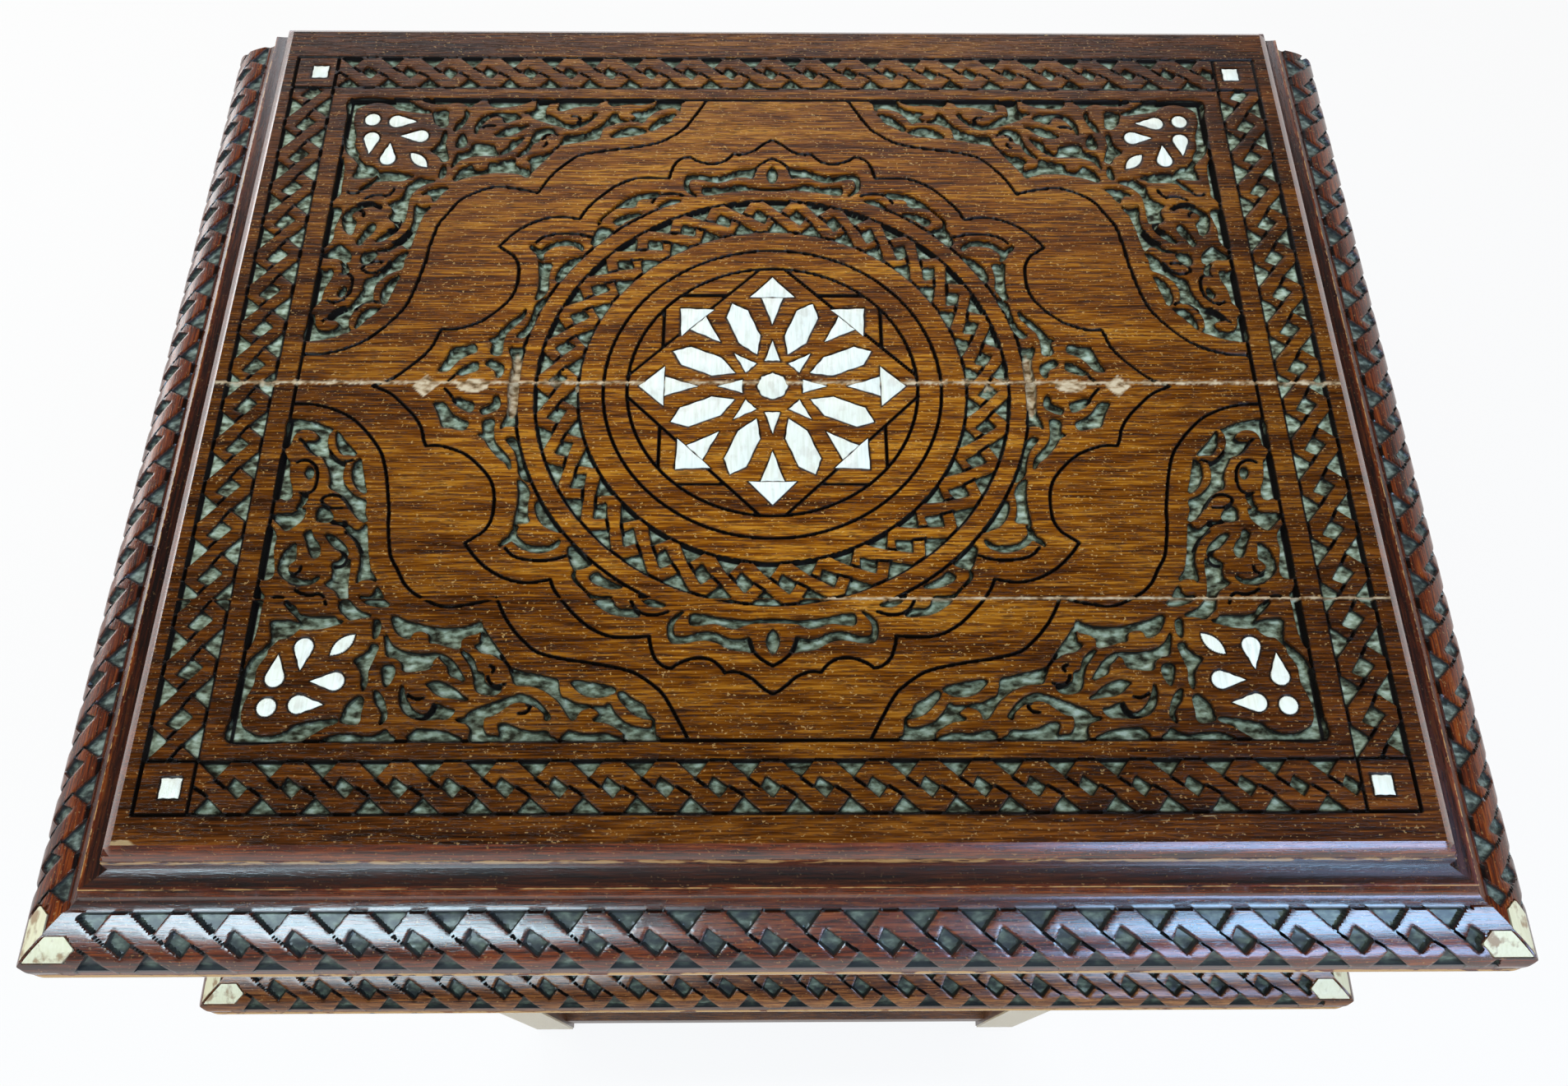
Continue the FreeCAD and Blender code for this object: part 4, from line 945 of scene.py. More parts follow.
def band_curve(crest):
    """Swelling band: a cubic, nearly flat above, turning down over a shoulder; and the width walked."""
    along = np.linspace(0, 1, BAND_STEPS + 1)[:, None]
    head = np.array([crest + BAND_HEAD[0], BAND_HEAD[1]])
    chord = np.array(BAND_FOOT) - head
    flat = 3 * along * (1 - along) ** 2 * np.array(BAND_FLAT)
    shoulder = 3 * along ** 2 * (1 - along) * np.array(BAND_SHOULDER)
    band = head + chord * (flat + shoulder + along ** 3)
    return band, np.concatenate([[0], np.cumsum(np.hypot(*np.diff(band, axis=0).T))])


def rail_section(crest, hidden):
    """Section as (out, drop) points in order, the way across the band (negative off it) and wear.

    Below zero it marks painted shade, laid in the ledge cove and the scotia.
    """
    share = np.linspace(0, 1, 8)[:, None]
    reach = np.array([crest - 0.4 - THUMB_OUT, 0])
    ledge = np.array([THUMB_OUT, LEDGE_DROP]) + share * reach + LEDGE_DIP * np.sin(math.pi * share) * (0, 1)
    arris = np.array([(crest, CREST_DROP), (crest + 0.15, CREST_DROP + 0.4)])
    dip = np.linspace(0, 1, 6)[:, None]
    hang = np.array(QUIRK) - np.array(FACE_FOOT)
    scotia = np.array([crest, 0]) + np.array(FACE_FOOT) + hang * np.hstack([dip, dip ** 0.6])
    band, width = band_curve(crest)
    lip = np.array([(BAND_FOOT[0], LIP - 1.7), (REACH - 0.35, LIP - 1.3), (REACH, LIP - 0.9),
                    (REACH, LIP - 0.3), (REACH - 0.15, LIP), (REACH - 0.7, LIP)])
    points = np.concatenate([ledge, arris, scotia, band, lip, np.array(hidden)])
    first = len(ledge) + len(arris) + len(scotia)
    place = np.full(len(points), -9.0)
    place[first:first + len(band)] = width
    wear_and_shade = np.zeros(len(points))
    wear_and_shade[len(ledge)] = 1.0
    wear_and_shade[first + len(band) + 1:first + len(band) + 5] = 1.8
    # Painted shade, darkest in the ledge cove under the thumb edge and lighter in the scotia down to the
    # quirk.
    wear_and_shade[:len(ledge) - 1] = -0.7
    wear_and_shade[len(ledge) + 3:first] = -0.4
    return points, place, wear_and_shade


for crest in (FRONT_CREST, SIDE_CREST):
    print("crest", crest, "mm out, band", round(band_curve(crest)[1][-1], 1), "mm across")

# %% [markdown]
# ### Carrying the section along
# A joiner runs the moulding in lengths and cuts it to a mitre at the front corners, square at the back.
# Here the section is carried along each side in the same way. On the band the braid is carved square to the
# surface. It stops short of the mitre and of the bone slip beside it, and the corners are worn round.

# %% Places on the rails
FRONT_PITCH = 15.6
SIDE_PITCH = 13.0
RAIL_SPACING = 0.55
RAIL_DEPTH = 2.1
RAIL_GROW = 0.2
SIDE_SPREAD = 1.16
SIDE_CARVED = 1.5
CORNER_ROUND = 6.5
CORNER_PULL = 0.96
PENCIL = [(3.4, 2.8), (9.6, 9.0), (14.6, 9.0), (17.2, 5.9), (13.8, 2.8)]
PENCIL_CLEAR = 0.9
PENCIL_SEAT = 0.8
MITRE_CLEAR = 4
CORNER_CLEAR = (12, 9.5)


def rail_places(side, front_out, side_out, share):
    """Plan point of a rail: along the front between two mitres, or from the front mitre to the back."""
    reach = HALF_PANEL + side_out
    front = PANEL_FRONT - front_out
    if side == 0:
        return reach * (2 * share - 1), front
    return side * reach, front + (BACK_Y - front) * share


def on_pencil(from_corner, from_lip, gap):
    """True inside the plan of the slip beside the mitre, pushed out by a gap."""
    return nearest_on(from_corner, from_lip, grown(PENCIL, gap), True)[3]


def braid_zone(from_corner, from_lip):
    """True where the braid may run: clear of the slip, of the mitre and of the outer corner."""
    on_bone = on_pencil(from_corner, from_lip, PENCIL_CLEAR)
    past_corner = (from_corner > CORNER_CLEAR[0]) | (from_lip > CORNER_CLEAR[1])
    return ~on_bone & (from_corner > MITRE_CLEAR + from_lip) & past_corner


def rounded_corners(x, y):
    """Plan points drawn in towards a circle where they lie beyond it at a front corner."""
    in_x = np.maximum(CORNER_ROUND - (HALF_LID - np.abs(x)), 0)
    in_y = np.maximum(CORNER_ROUND - (y - LIP_Y), 0)
    past = np.hypot(in_x, in_y)
    pull = CORNER_PULL * np.where(past > CORNER_ROUND, 1 - CORNER_ROUND / np.maximum(past, 1e-6), 0)
    return np.sign(x) * (np.abs(x) - pull * in_x), y + pull * in_y


print("braid pitch about", FRONT_PITCH, "mm in front and", SIDE_PITCH, "mm at the sides")

# %% Rails
def carved_rail(node, side, top, hidden, body):
    """One rail: section point (out, drop) carried along, less the braid's depth along the inward normal."""
    crest = SIDE_CREST if side else FRONT_CREST
    section, place, wear_and_shade = rail_section(crest, hidden)
    band, band_width = band_curve(crest)
    length = BACK_Y - LIP_Y if side else 2 * HALF_LID
    columns = int(length / RAIL_SPACING)
    out = np.repeat(section[:, 0], columns + 1)
    drop = np.repeat(section[:, 1], columns + 1)
    width = np.repeat(place, columns + 1)
    share = np.tile(np.linspace(0, 1, columns + 1), len(section))
    front_out, side_out = (np.repeat(rail_section(c, hidden)[0][:, 0], columns + 1)
                           for c in (FRONT_CREST, SIDE_CREST))
    x, y = rail_places(side, front_out, side_out, share)
    relief = Relief(len(out))
    run = (y - LIP_Y) * side if side else x + HALF_LID
    from_corner = HALF_LID - np.abs(x) if side == 0 else y - LIP_Y
    from_lip = REACH - out
    on_band = width >= 0
    clear = braid_zone(from_corner, from_lip) & on_band
    pitch = length / round(length / (SIDE_PITCH if side else FRONT_PITCH))
    t = np.where(clear, width, FAR_OFF)
    spread, deep = (SIDE_SPREAD, SIDE_CARVED) if side else (1.0, RAIL_DEPTH)
    braid(relief, run, t, (1.0, 0.0, 0.0, 1.0), pitch, spread * band_width[-1], deep, RAIL_GROW)
    depth, move = relief.settle(RAIL_SPACING, WALL_RUN, CUT_DEPTH)
    seated = on_pencil(from_corner, from_lip, SEAT_GAP)
    depth = np.where(seated, PENCIL_SEAT, depth)
    carved = clear & ~seated
    along = np.where(carved, move[:, 0], 0)
    walked = np.clip(width + np.where(carved, move[:, 1], 0), 0, band_width[-1])
    out = np.where(on_band, np.interp(walked, band_width, band[:, 0]), out)
    drop = np.where(on_band, np.interp(walked, band_width, band[:, 1]), drop)
    slope = np.gradient(band, axis=0)
    inward = np.stack([-slope[:, 1], slope[:, 0]], 1) / np.hypot(*slope.T)[:, None]
    sunk_out = out + np.where(on_band, np.interp(walked, band_width, inward[:, 0]), 0) * depth
    sunk_drop = drop + np.where(on_band, np.interp(walked, band_width, inward[:, 1]), 0) * depth
    if side == 0:
        x, y = x + along, PANEL_FRONT - sunk_out
    else:
        x, y = side * (HALF_PANEL + sunk_out), y + side * along
    x, y = rounded_corners(x, y)
    points = np.stack([x, y, top - sunk_drop], 1)
    rows = len(section)
    ring = np.concatenate([points, points[:columns + 1]])
    triangles = cell_triangles(ring, rows + 1, columns + 1) % len(points)
    number = np.arange(len(points)).reshape(rows, columns + 1)
    ends = [number[:, 0], number[::-1, -1]]
    if side != -1:  # only the left rail's grid faces outward as it is numbered
        triangles, ends = triangles[:, ::-1], [e[::-1] for e in ends]
    # The stain mark carries the painted shade of the ledge cove and the scotia; hollow and edge place painted
    # shade on the braid's walls and rims.
    paint = {"hollow": np.clip(relief.inside, 0, 3) / 3,
             "cut": np.where(carved, np.clip(1 - relief.cut / CUT_REACH, 0, 1), 0),
             "edge": np.where(carved & (relief.inside == 0), 1.0, 0.0),
             "arris": np.repeat(np.maximum(wear_and_shade, 0), columns + 1),
             "stain": np.repeat(np.maximum(-wear_and_shade, 0), columns + 1)}
    piece = make_piece(node + "_carved", points, triangles, ends, paint)
    return stand_for(piece, body, "moulding_walnut", node)


REBATE = [(-UNDER_PANEL, LIP), (-UNDER_PANEL, TOP - UNDERSIDE), (THUMB_OUT, TOP - UNDERSIDE)]
base_top = extent("base_rail_front")[0][2] + LIP
SIDES = {"front": 0, "left": -1, "right": 1}
rails = [carved_rail("lid_rail_" + name, side, TOP, REBATE, "lid") for name, side in SIDES.items()]
rails += [carved_rail("base_rail_" + name, side, base_top, [(0, LIP), (0, LEDGE_DROP)], "stand")
          for name, side in SIDES.items()]

# %% [markdown]
# ## Bone slips
# Each slip of bone was sawn, trimmed by hand and glued into its seat, so no two edges are quite straight
# and a dark line of glue shows round each. A slip is its outline carried up from the seat, drawn in a
# little at the top edge. A plain extruded outline would be simpler, but all slips would then look stamped.
# A tone for each slip and a mark at its rim are kept for the finish.

# %% Making slips
SLIP_EDGE = 0.22
SLIP_EDGE_DROP = 0.12
TRIM_STEPS = 4
HAND = 0.10


def slip_points(outline, low, high, seed):
    """Rings of a slip: the outline at the seat, the same near the top, and drawn in at the top."""
    p = np.array(outline, float)
    steps = np.linspace(0, 1, TRIM_STEPS, endpoint=False)[:, None]
    p = (p[:, None] + steps * (np.roll(p, -1, 0) - p)[:, None]).reshape(-1, 2)
    count = np.arange(len(p))
    wobble = HAND * np.stack([np.sin(count * 2.4 + seed * 1.7), np.sin(count * 3.1 + seed * 2.9)], 1)
    p = p + wobble - SLIP_EDGE * 0.5 * (p - p.mean(0)) / np.linalg.norm(p - p.mean(0), axis=1, keepdims=True)
    away = p - p.mean(0)
    drawn = p - away / np.linalg.norm(away, axis=1, keepdims=True) * SLIP_EDGE
    rings = [(p, low), (p, high - SLIP_EDGE_DROP), (drawn, high)]
    return np.concatenate([np.hstack([ring, np.full((len(ring), 1), z)]) for ring, z in rings])


def bone_slips(node, outlines):
    """All slips of one node as one mesh: ring walls and a flat top and bottom for each outline."""
    low, high = extent(node)
    points, walls, closers, tone, rim = [], [], [], [], []
    start = 0
    for seed, outline in enumerate(outlines):
        turn = np.array(outline, float)
        area = np.sum(turn[:, 0] * np.roll(turn[:, 1], -1) - turn[:, 1] * np.roll(turn[:, 0], -1))
        turn = turn if area > 0 else turn[::-1]
        rings = slip_points(turn, low[2], high[2], seed + len(node))
        count = len(rings) // 3
        number = start + np.arange(3 * count).reshape(3, count)
        a, b = number[:-1].ravel(), np.roll(number, -1, 1)[:-1].ravel()
        d, c = number[1:].ravel(), np.roll(number, -1, 1)[1:].ravel()
        walls += [np.stack([a, b, c], 1), np.stack([a, c, d], 1)]
        closers += [number[2], number[0][::-1]]
        points.append(rings)
        tone.append(np.full(3 * count, 0.5 + 0.5 * math.sin(seed * 12.9 + len(node) * 4.1)))
        rim.append(np.repeat([1.0, 1.0, 0.25], count))
        start += 3 * count
    paint = {"tone": np.concatenate(tone), "rim": np.concatenate(rim)}
    piece = make_piece(node + "_slips", np.concatenate(points), np.concatenate(walls), closers, paint)
    return stand_for(piece, "lid", "bone", node)


print("a slip with four corners is trimmed at", 4 * TRIM_STEPS, "points")

# %% Slips of the star, the corner squares and the palmettes
def around_star(half, phase):
    """Eight copies of a half outline mirrored about its axis and turned about the star."""
    outline = np.array(mirrored(half))
    lean = phase + np.arange(8) * math.pi / 4
    return [np.array(STAR) + outline @ np.array([(math.cos(t), math.sin(t)), (-math.sin(t), math.cos(t))])
            for t in lean]


def four_corners(outline, place):
    """The outline at its place in each quarter of the field."""
    spot = np.array(place) + np.array(outline)
    return [np.array(FIELD) + spot * (side, end) for side in (-1, 1) for end in (-1, 1)]


square = SQUARE_HALF * np.array([(1, 1), (-1, 1), (-1, -1), (1, -1)])
slips = [bone_slips("bone_star_centre", [np.array(STAR) + round_outline((0, 0), OCTAGON, 8)]),
         bone_slips("bone_star_darts", around_star(DART, 0.0)),
         bone_slips("bone_star_hexagons", around_star(HEXAGON, math.pi / 8)),
         bone_slips("bone_star_points", around_star([ARROW[2], ARROW[3]], 0.0)),
         bone_slips("bone_star_tails", around_star(ARROW[:2], 0.0)),
         bone_slips("bone_corner_squares", four_corners(square, SQUARE_PLACE)),
         bone_slips("bone_palmette_rounds", four_corners(-round_outline((0, 0), BULB), PALMETTE)),
         bone_slips("bone_palmette_petals", [p for petal in petals for p in four_corners(-petal, PALMETTE)]),
         bone_slips("bone_palmette_leaves", four_corners(-lens(*LEAF), PALMETTE))]

# %% [markdown]
# ### Slips beside the mitres
# Beside each front mitre a slip with one slanted end lies in the band, filed to its swell with the wood
# around it. A flat slip would stand out of the swell on one side and sink on the other. So its plan is
# filled with rows that run along the band, laid on the band's own curve and left a hair proud, with a wall
# down into the seat.

# %% Slips beside the mitres
MITRE_PROUD = 0.12
MITRE_DEEP = 0.9
MITRE_GRID = (12, 8)


def mitre_slip(side, flank, top):
    """Points of one slip: rows from near to far edge on the band's curve, then its rim sunk in the seat."""
    (near, low), (_, high), (far_high, _), (far_mid, middle), (far, _) = PENCIL
    inward = np.linspace(low, high, MITRE_GRID[0])[:, None]
    far_edge = np.interp(inward, [low, middle, high], [far, far_mid, far_high])
    share = np.linspace(0, 1, MITRE_GRID[1])
    along = (near + inward - low) * (1 - share) + far_edge * share
    inward = np.broadcast_to(inward, along.shape)
    band, _ = band_curve(SIDE_CREST if flank else FRONT_CREST)
    z = top - np.interp(REACH - inward, band[:, 0], band[:, 1]) + MITRE_PROUD
    x, y = (inward, along) if flank else (along, inward)
    grid = np.stack([side * (HALF_LID - x), LIP_Y + y, z], 2)
    return grid, rim_of(grid) - (0, 0, MITRE_DEEP)


def mitre_slips(node, top, body):
    """All slips beside the mitres of one tier as one mesh: grid, wall round it and a closing face below."""
    points, faces, closers, start = [], [], [], 0
    for side in (-1, 1):
        for flank in (False, True):
            grid, sunk = mitre_slip(side, flank, top)
            rows, columns = grid.shape[:2]
            number = start + np.arange(rows * columns).reshape(rows, columns)
            foot = start + rows * columns + np.arange(len(sunk))
            slip = np.concatenate([start + cell_triangles(grid.reshape(-1, 3), rows, columns),
                                   skirt(rim_of(number), foot)])
            turned = (side > 0) != flank
            faces.append(slip[:, ::-1] if turned else slip)
            closers.append(foot if turned else foot[::-1])
            points += [grid.reshape(-1, 3), sunk]
            start += rows * columns + len(sunk)
    points = np.concatenate(points)
    piece = make_piece(node + "_slips", points, np.concatenate(faces), closers)
    return stand_for(piece, body, "bone", node)


mitre_pieces = [mitre_slips("lid_bone_pencils", TOP, "lid"),
                mitre_slips("base_bone_pencils", base_top, "stand")]

# %% [markdown]
# ## Finishes
# Colours are written as they look on screen and turned to linear light by one function. A second small
# function adds a shader node with its settings and links, so each finish reads as a short recipe.

# %% Material helpers
def linear(code):
    """Linear colour from an sRGB hex code."""
    parts = [int(code[i:i + 2], 16) / 255 for i in (1, 3, 5)]
    return tuple(c / 12.92 if c <= 0.04045 else ((c + 0.055) / 1.055) ** 2.4 for c in parts) + (1.0,)


def add(tree, kind, inputs=None, stops=(), **settings):
    """Add a node: its settings, its colour stops, and for each input a value, a socket or another node."""
    node = tree.nodes.new(kind)
    for key, value in settings.items():
        setattr(node, key, value)
    for place, code in stops[1:-1]:
        node.color_ramp.elements.new(place).color = linear(code)
    for end in (0, -1) if stops else ():
        node.color_ramp.elements[end].position = stops[end][0]
        node.color_ramp.elements[end].color = linear(stops[end][1])
    for key, value in (inputs or {}).items():
        named = [s for s in node.inputs if s.name == key and s.enabled]
        socket = named[0] if named else node.inputs[key]
        if isinstance(value, bpy.types.Node):
            value = [s for s in value.outputs if s.enabled][0]
        if isinstance(value, bpy.types.NodeSocket):
            tree.links.new(value, socket)
        else:
            socket.default_value = value
    return node


def new_material(name):
    """Empty node material and its tree."""
    material = bpy.data.materials.new(name)
    material.use_nodes = True
    material.node_tree.nodes.clear()
    return material, material.node_tree


print("mid grey in linear light", round(linear("#808080")[0], 3))

# %% [markdown]
# ### Walnut
# Stained walnut under a rubbed varnish: long figure, fine fibres, short dark pores and pale flecks, all
# drawn out along the grain. Real pores are a tenth of a millimetre wide, so they are drawn wider here to
# show. Grain runs along the longest side of each piece, so the same recipe is stretched along X, Y or Z. A
# photograph of wood would repeat and end at every edge. Noise in the space of the piece doesn't, and it
# runs on through the carving as real grain does.

# %% Walnut recipe
GRAIN = {"figure": (90.0, 8.0, 4.0), "fibre": (13.0, 0.6, 3.0), "pore": (3.6, 0.5, 2.0),
         "fleck": (1.0, 0.7, 1.0)}


def streaks(tree, place, axis, sizes):
    """Noise drawn out along an axis; a size is (length and width of a streak in millimetres, detail)."""
    layers = {}
    for count, (label, (length, width, detail)) in enumerate(sizes.items()):
        scale = [1 / (width * MM)] * 3
        scale[axis] = 1 / (length * MM)
        spot = add(tree, "ShaderNodeMapping", {"Vector": place, "Scale": scale,
                                               "Location": [5.3 * count] * 3})
        noise = add(tree, "ShaderNodeTexNoise", {"Vector": spot, "Scale": 1.0, "Detail": detail})
        layers[label] = noise.outputs["Fac"]
    return layers


def walnut(tree, place, axis, stops, fleck_colour):
    """Colour and height of stained walnut with its grain along an axis."""
    layers = streaks(tree, place, axis, GRAIN)
    broad = add(tree, "ShaderNodeMath", {0: layers["figure"], 1: 0.4}, operation="MULTIPLY")
    blend = add(tree, "ShaderNodeMath", {0: layers["fibre"], 1: 0.6, 2: broad}, operation="MULTIPLY_ADD")
    colour = add(tree, "ShaderNodeValToRGB", {"Fac": blend}, stops)
    pore = add(tree, "ShaderNodeMapRange", {"Value": layers["pore"], "From Min": 0.53, "From Max": 0.64,
                                            "To Max": 0.55})
    colour = add(tree, "ShaderNodeMix", {"Factor": pore, "A": colour, "B": linear("#1d0d03")},
                 data_type="RGBA")
    fleck = add(tree, "ShaderNodeMapRange", {"Value": layers["fleck"], "From Min": 0.66, "From Max": 0.74,
                                             "To Max": 0.7})
    colour = add(tree, "ShaderNodeMix", {"Factor": fleck, "A": colour, "B": fleck_colour}, data_type="RGBA")
    height = add(tree, "ShaderNodeMath", {0: layers["fibre"], 1: pore}, operation="SUBTRACT")
    return colour, height


print("streaks in millimetres", {label: size[:2] for label, size in GRAIN.items()})

# %% [markdown]
# ### Carved walnut
# The sunk ground keeps a grey-green bloom of old wax and dust. Painted shade makes it near black against the
# walls of each hollow and along their rims, and darker towards the front of the panel. On the rails painted
# shade also darkens the ledge cove and the scotia. Cut lines are near black. The wood is warmest in the
# middle of the panel and nearly black brown towards its edges. The filler of the glue joints is a pale putty,
# and worn arrises show bare wood.
# The same recipe serves panel and mouldings, because both read the same painted marks of their piece. A
# node could guess edges from the shape, but the carving already knows where they are.

# %% Marks of the carving
MARKS = ("hollow", "cut", "edge", "arris", "stain")


def carved(tree, place, wood, ground_stops, floor_light):
    """Wood colour with near-black cut lines, painted shade on the walls and rims of the hollows, patinated
    floors and rubbed edges; and the sunk mask.

    The stain mark adds painted shade too. Floor light is the share of the floors' patina that shows; below one
    the floors take painted shade.
    """
    mark = {}
    for label in MARKS:
        mark[label] = add(tree, "ShaderNodeAttribute", attribute_name=label).outputs["Fac"]
    # The stain mark lays near-black painted shade on the rails' ledge cove and scotia.
    wood = add(tree, "ShaderNodeMix", {"Factor": mark["stain"], "A": wood, "B": linear("#0d0705")},
               data_type="RGBA")
    bloom = streaks(tree, place, 0, {"bloom": (3.4, 1.9, 4.0), "rub": (7.0, 2.2, 5.0)})
    glint = add(tree, "ShaderNodeMapRange", {"Value": bloom["rub"], "From Min": 0.36, "From Max": 0.58})
    worn = add(tree, "ShaderNodeMath", {0: mark["arris"], 1: glint}, operation="MULTIPLY")
    rubbed = add(tree, "ShaderNodeMapRange", {"Value": worn, "From Min": 0.25, "From Max": 0.7,
                                              "To Max": 0.9})
    colour = add(tree, "ShaderNodeMix", {"Factor": rubbed, "A": wood, "B": linear("#c39256")},
                 data_type="RGBA")
    # Painted shade along the rim of each hollow, where the top turns down into its wall.
    rim_shade = add(tree, "ShaderNodeMath", {0: mark["edge"], 1: 0.35}, operation="MULTIPLY")
    colour = add(tree, "ShaderNodeMix", {"Factor": rim_shade, "A": colour, "B": linear("#241206")},
                 data_type="RGBA")
    floor = add(tree, "ShaderNodeValToRGB", {"Fac": bloom["bloom"]}, ground_stops)
    # Painted shade: the floors darken towards the front of the panel, by the floor-light share.
    floor = add(tree, "ShaderNodeMix", {"Factor": floor_light, "A": linear("#26230f"), "B": floor},
                data_type="RGBA")
    # Painted shade: near black on the walls of each hollow, fading into the floor's patina.
    wall = add(tree, "ShaderNodeMapRange", {"Value": mark["hollow"], "From Min": 0.08, "From Max": 0.24})
    ground = add(tree, "ShaderNodeMix", {"Factor": wall, "A": linear("#0c0a08"), "B": floor},
                 data_type="RGBA")
    sunk = add(tree, "ShaderNodeMapRange", {"Value": mark["hollow"], "From Min": 0.01, "From Max": 0.07})
    colour = add(tree, "ShaderNodeMix", {"Factor": sunk, "A": colour, "B": ground}, data_type="RGBA")
    cut = add(tree, "ShaderNodeMapRange", {"Value": mark["cut"], "From Min": 0.2, "From Max": 0.55})
    colour = add(tree, "ShaderNodeMix", {"Factor": cut, "A": colour, "B": linear("#0e0805")},
                 data_type="RGBA")
    return colour, sunk, bloom["bloom"]


print("marks read from a carved piece", MARKS)

# %% Carved walnut of the panel
PANEL_GROUND = [(0.35, "#262114"), (0.46, "#656852"), (0.57, "#979f84"), (0.7, "#c0c6b0")]
PANEL_WARM = [(0.375, "#3a1900"), (0.455, "#663200"), (0.53, "#884c05"), (0.615, "#b2731c")]
PANEL_DARK = [(0.37, "#120400"), (0.45, "#2c1100"), (0.54, "#451c02"), (0.64, "#64300b")]
PUTTY = [(0.36, "#644a2c"), (0.48, "#a88b68"), (0.6, "#cdb694")]
WARM_HALF = (0.2, 0.165)
WARM_SHIFT = -0.1
FLOOR_SHADE_FRONT = -0.14


def carved_walnut():
    """Walnut with a warm middle, patinated hollows with painted shade at their walls and towards the front,
    near-black cut lines, filled joints and bare wear.
    """
    material, tree = new_material("walnut_carved_and_waxed")
    place = add(tree, "ShaderNodeTexCoord").outputs["Object"]
    warm, height = walnut(tree, place, 0, PANEL_WARM, linear("#c79a5a"))
    dark, _ = walnut(tree, place, 0, PANEL_DARK, linear("#9a7448"))
    centre = add(tree, "ShaderNodeMapping", {"Vector": place, "Location": (0.0, WARM_SHIFT, 0.0),
                                            "Scale": (1 / WARM_HALF[0], 1 / WARM_HALF[1], 0.0)})
    reach = add(tree, "ShaderNodeVectorMath", {0: centre}, operation="LENGTH").outputs["Value"]
    edge = add(tree, "ShaderNodeMapRange", {"Value": reach, "From Min": 0.45, "From Max": 0.98,
                                            "To Max": 0.9})
    wood = add(tree, "ShaderNodeMix", {"Factor": edge, "A": warm, "B": dark}, data_type="RGBA")
    # Painted shade on the floors of the hollows, growing towards the front of the panel.
    depth_along = add(tree, "ShaderNodeSeparateXYZ", {"Vector": place}).outputs["Y"]
    floor_light = add(tree, "ShaderNodeMapRange", {"Value": depth_along, "From Min": FLOOR_SHADE_FRONT, "From Max": 0.0,
                                              "To Min": 0.62, "To Max": 1.0})
    colour, sunk, bloom = carved(tree, place, wood, PANEL_GROUND, floor_light)
    seat = add(tree, "ShaderNodeAttribute", attribute_name="seat").outputs["Fac"]
    colour = add(tree, "ShaderNodeMix", {"Factor": seat, "A": colour, "B": linear("#150b05")},
                 data_type="RGBA")
    worn = add(tree, "ShaderNodeAttribute", attribute_name="bare").outputs["Fac"]
    ragged = add(tree, "ShaderNodeMath", {0: worn, 1: bloom}, operation="MULTIPLY")
    bare = add(tree, "ShaderNodeMapRange", {"Value": ragged, "From Min": 0.22, "From Max": 0.34,
                                            "To Max": 0.85})
    colour = add(tree, "ShaderNodeMix", {"Factor": bare, "A": colour, "B": linear("#a88a60")},
                 data_type="RGBA")
    filler = add(tree, "ShaderNodeAttribute", attribute_name="filler").outputs["Fac"]
    putty = add(tree, "ShaderNodeValToRGB", {"Fac": bloom}, PUTTY)
    colour = add(tree, "ShaderNodeMix", {"Factor": filler, "A": colour, "B": putty}, data_type="RGBA")
    rough = add(tree, "ShaderNodeMapRange", {"Value": sunk, "To Min": 0.3, "To Max": 0.75})
    grain = add(tree, "ShaderNodeBump", {"Height": height, "Distance": 0.12 * MM, "Strength": 0.6})
    surface = add(tree, "ShaderNodeBsdfPrincipled", {"Base Color": colour, "Roughness": rough, "IOR": 1.5,
                                                     "Specular IOR Level": 0.14, "Normal": grain})
    add(tree, "ShaderNodeOutputMaterial", {"Surface": surface})
    return material


panel_finish = carved_walnut()
print(panel_finish.name, len(panel_finish.node_tree.nodes), "nodes")

# %% [markdown]
# ### Moulding walnut
# The mouldings are darker and glossier: more varnish lies on them and a scraper shaped them, so they
# throw back the light of the windows in front. The side rails are rubbed duller by hands, and the floors
# of their braid are paler. The lower rail is painted lighter and warmer than the lid's, as painted light
# where the lid above shades it. One recipe with other stains and another share of gloss gives all three.

# %% Moulding walnut
RAIL_GROUND = [(0.34, "#0a0a06"), (0.46, "#26291d"), (0.58, "#454b3a"), (0.72, "#6a715e")]
FLANK_GROUND = [(0.34, "#1c1e18"), (0.46, "#454a40"), (0.58, "#70776a"), (0.72, "#969d8f")]
RAIL_STAIN = [(0.37, "#1e0500"), (0.46, "#481703"), (0.55, "#6a2806"), (0.66, "#8c4311")]
# Lighter, warmer copy of the rail stain: painted light for the lower rail, which the lid above shades.
LOWER_STAIN_PAINTED_LIGHT = [(0.37, "#351505"), (0.46, "#643312"), (0.55, "#854d1f"), (0.66, "#a66b37")]


def moulding_walnut(name, axis, stain, ground, shine):
    """Varnished walnut along an axis, with the same marks of carving; shine is the share of full gloss."""
    material, tree = new_material(name)
    place = add(tree, "ShaderNodeTexCoord").outputs["Object"]
    wood, height = walnut(tree, place, axis, stain, linear("#94683c"))
    colour, sunk, _ = carved(tree, place, wood, ground, 1.0)
    rough = add(tree, "ShaderNodeMapRange", {"Value": sunk, "To Min": 0.24, "To Max": 0.75})
    grain = add(tree, "ShaderNodeBump", {"Height": height, "Distance": 0.03 * MM, "Strength": 0.6})
    surface = add(tree, "ShaderNodeBsdfPrincipled", {"Base Color": colour, "Roughness": rough, "IOR": 1.5,
                                                     "Specular IOR Level": 0.9 * shine,
                                                     "Coat Weight": 0.45 * shine,
                                                     "Coat Roughness": 0.15, "Normal": grain})
    add(tree, "ShaderNodeOutputMaterial", {"Surface": surface})
    return material


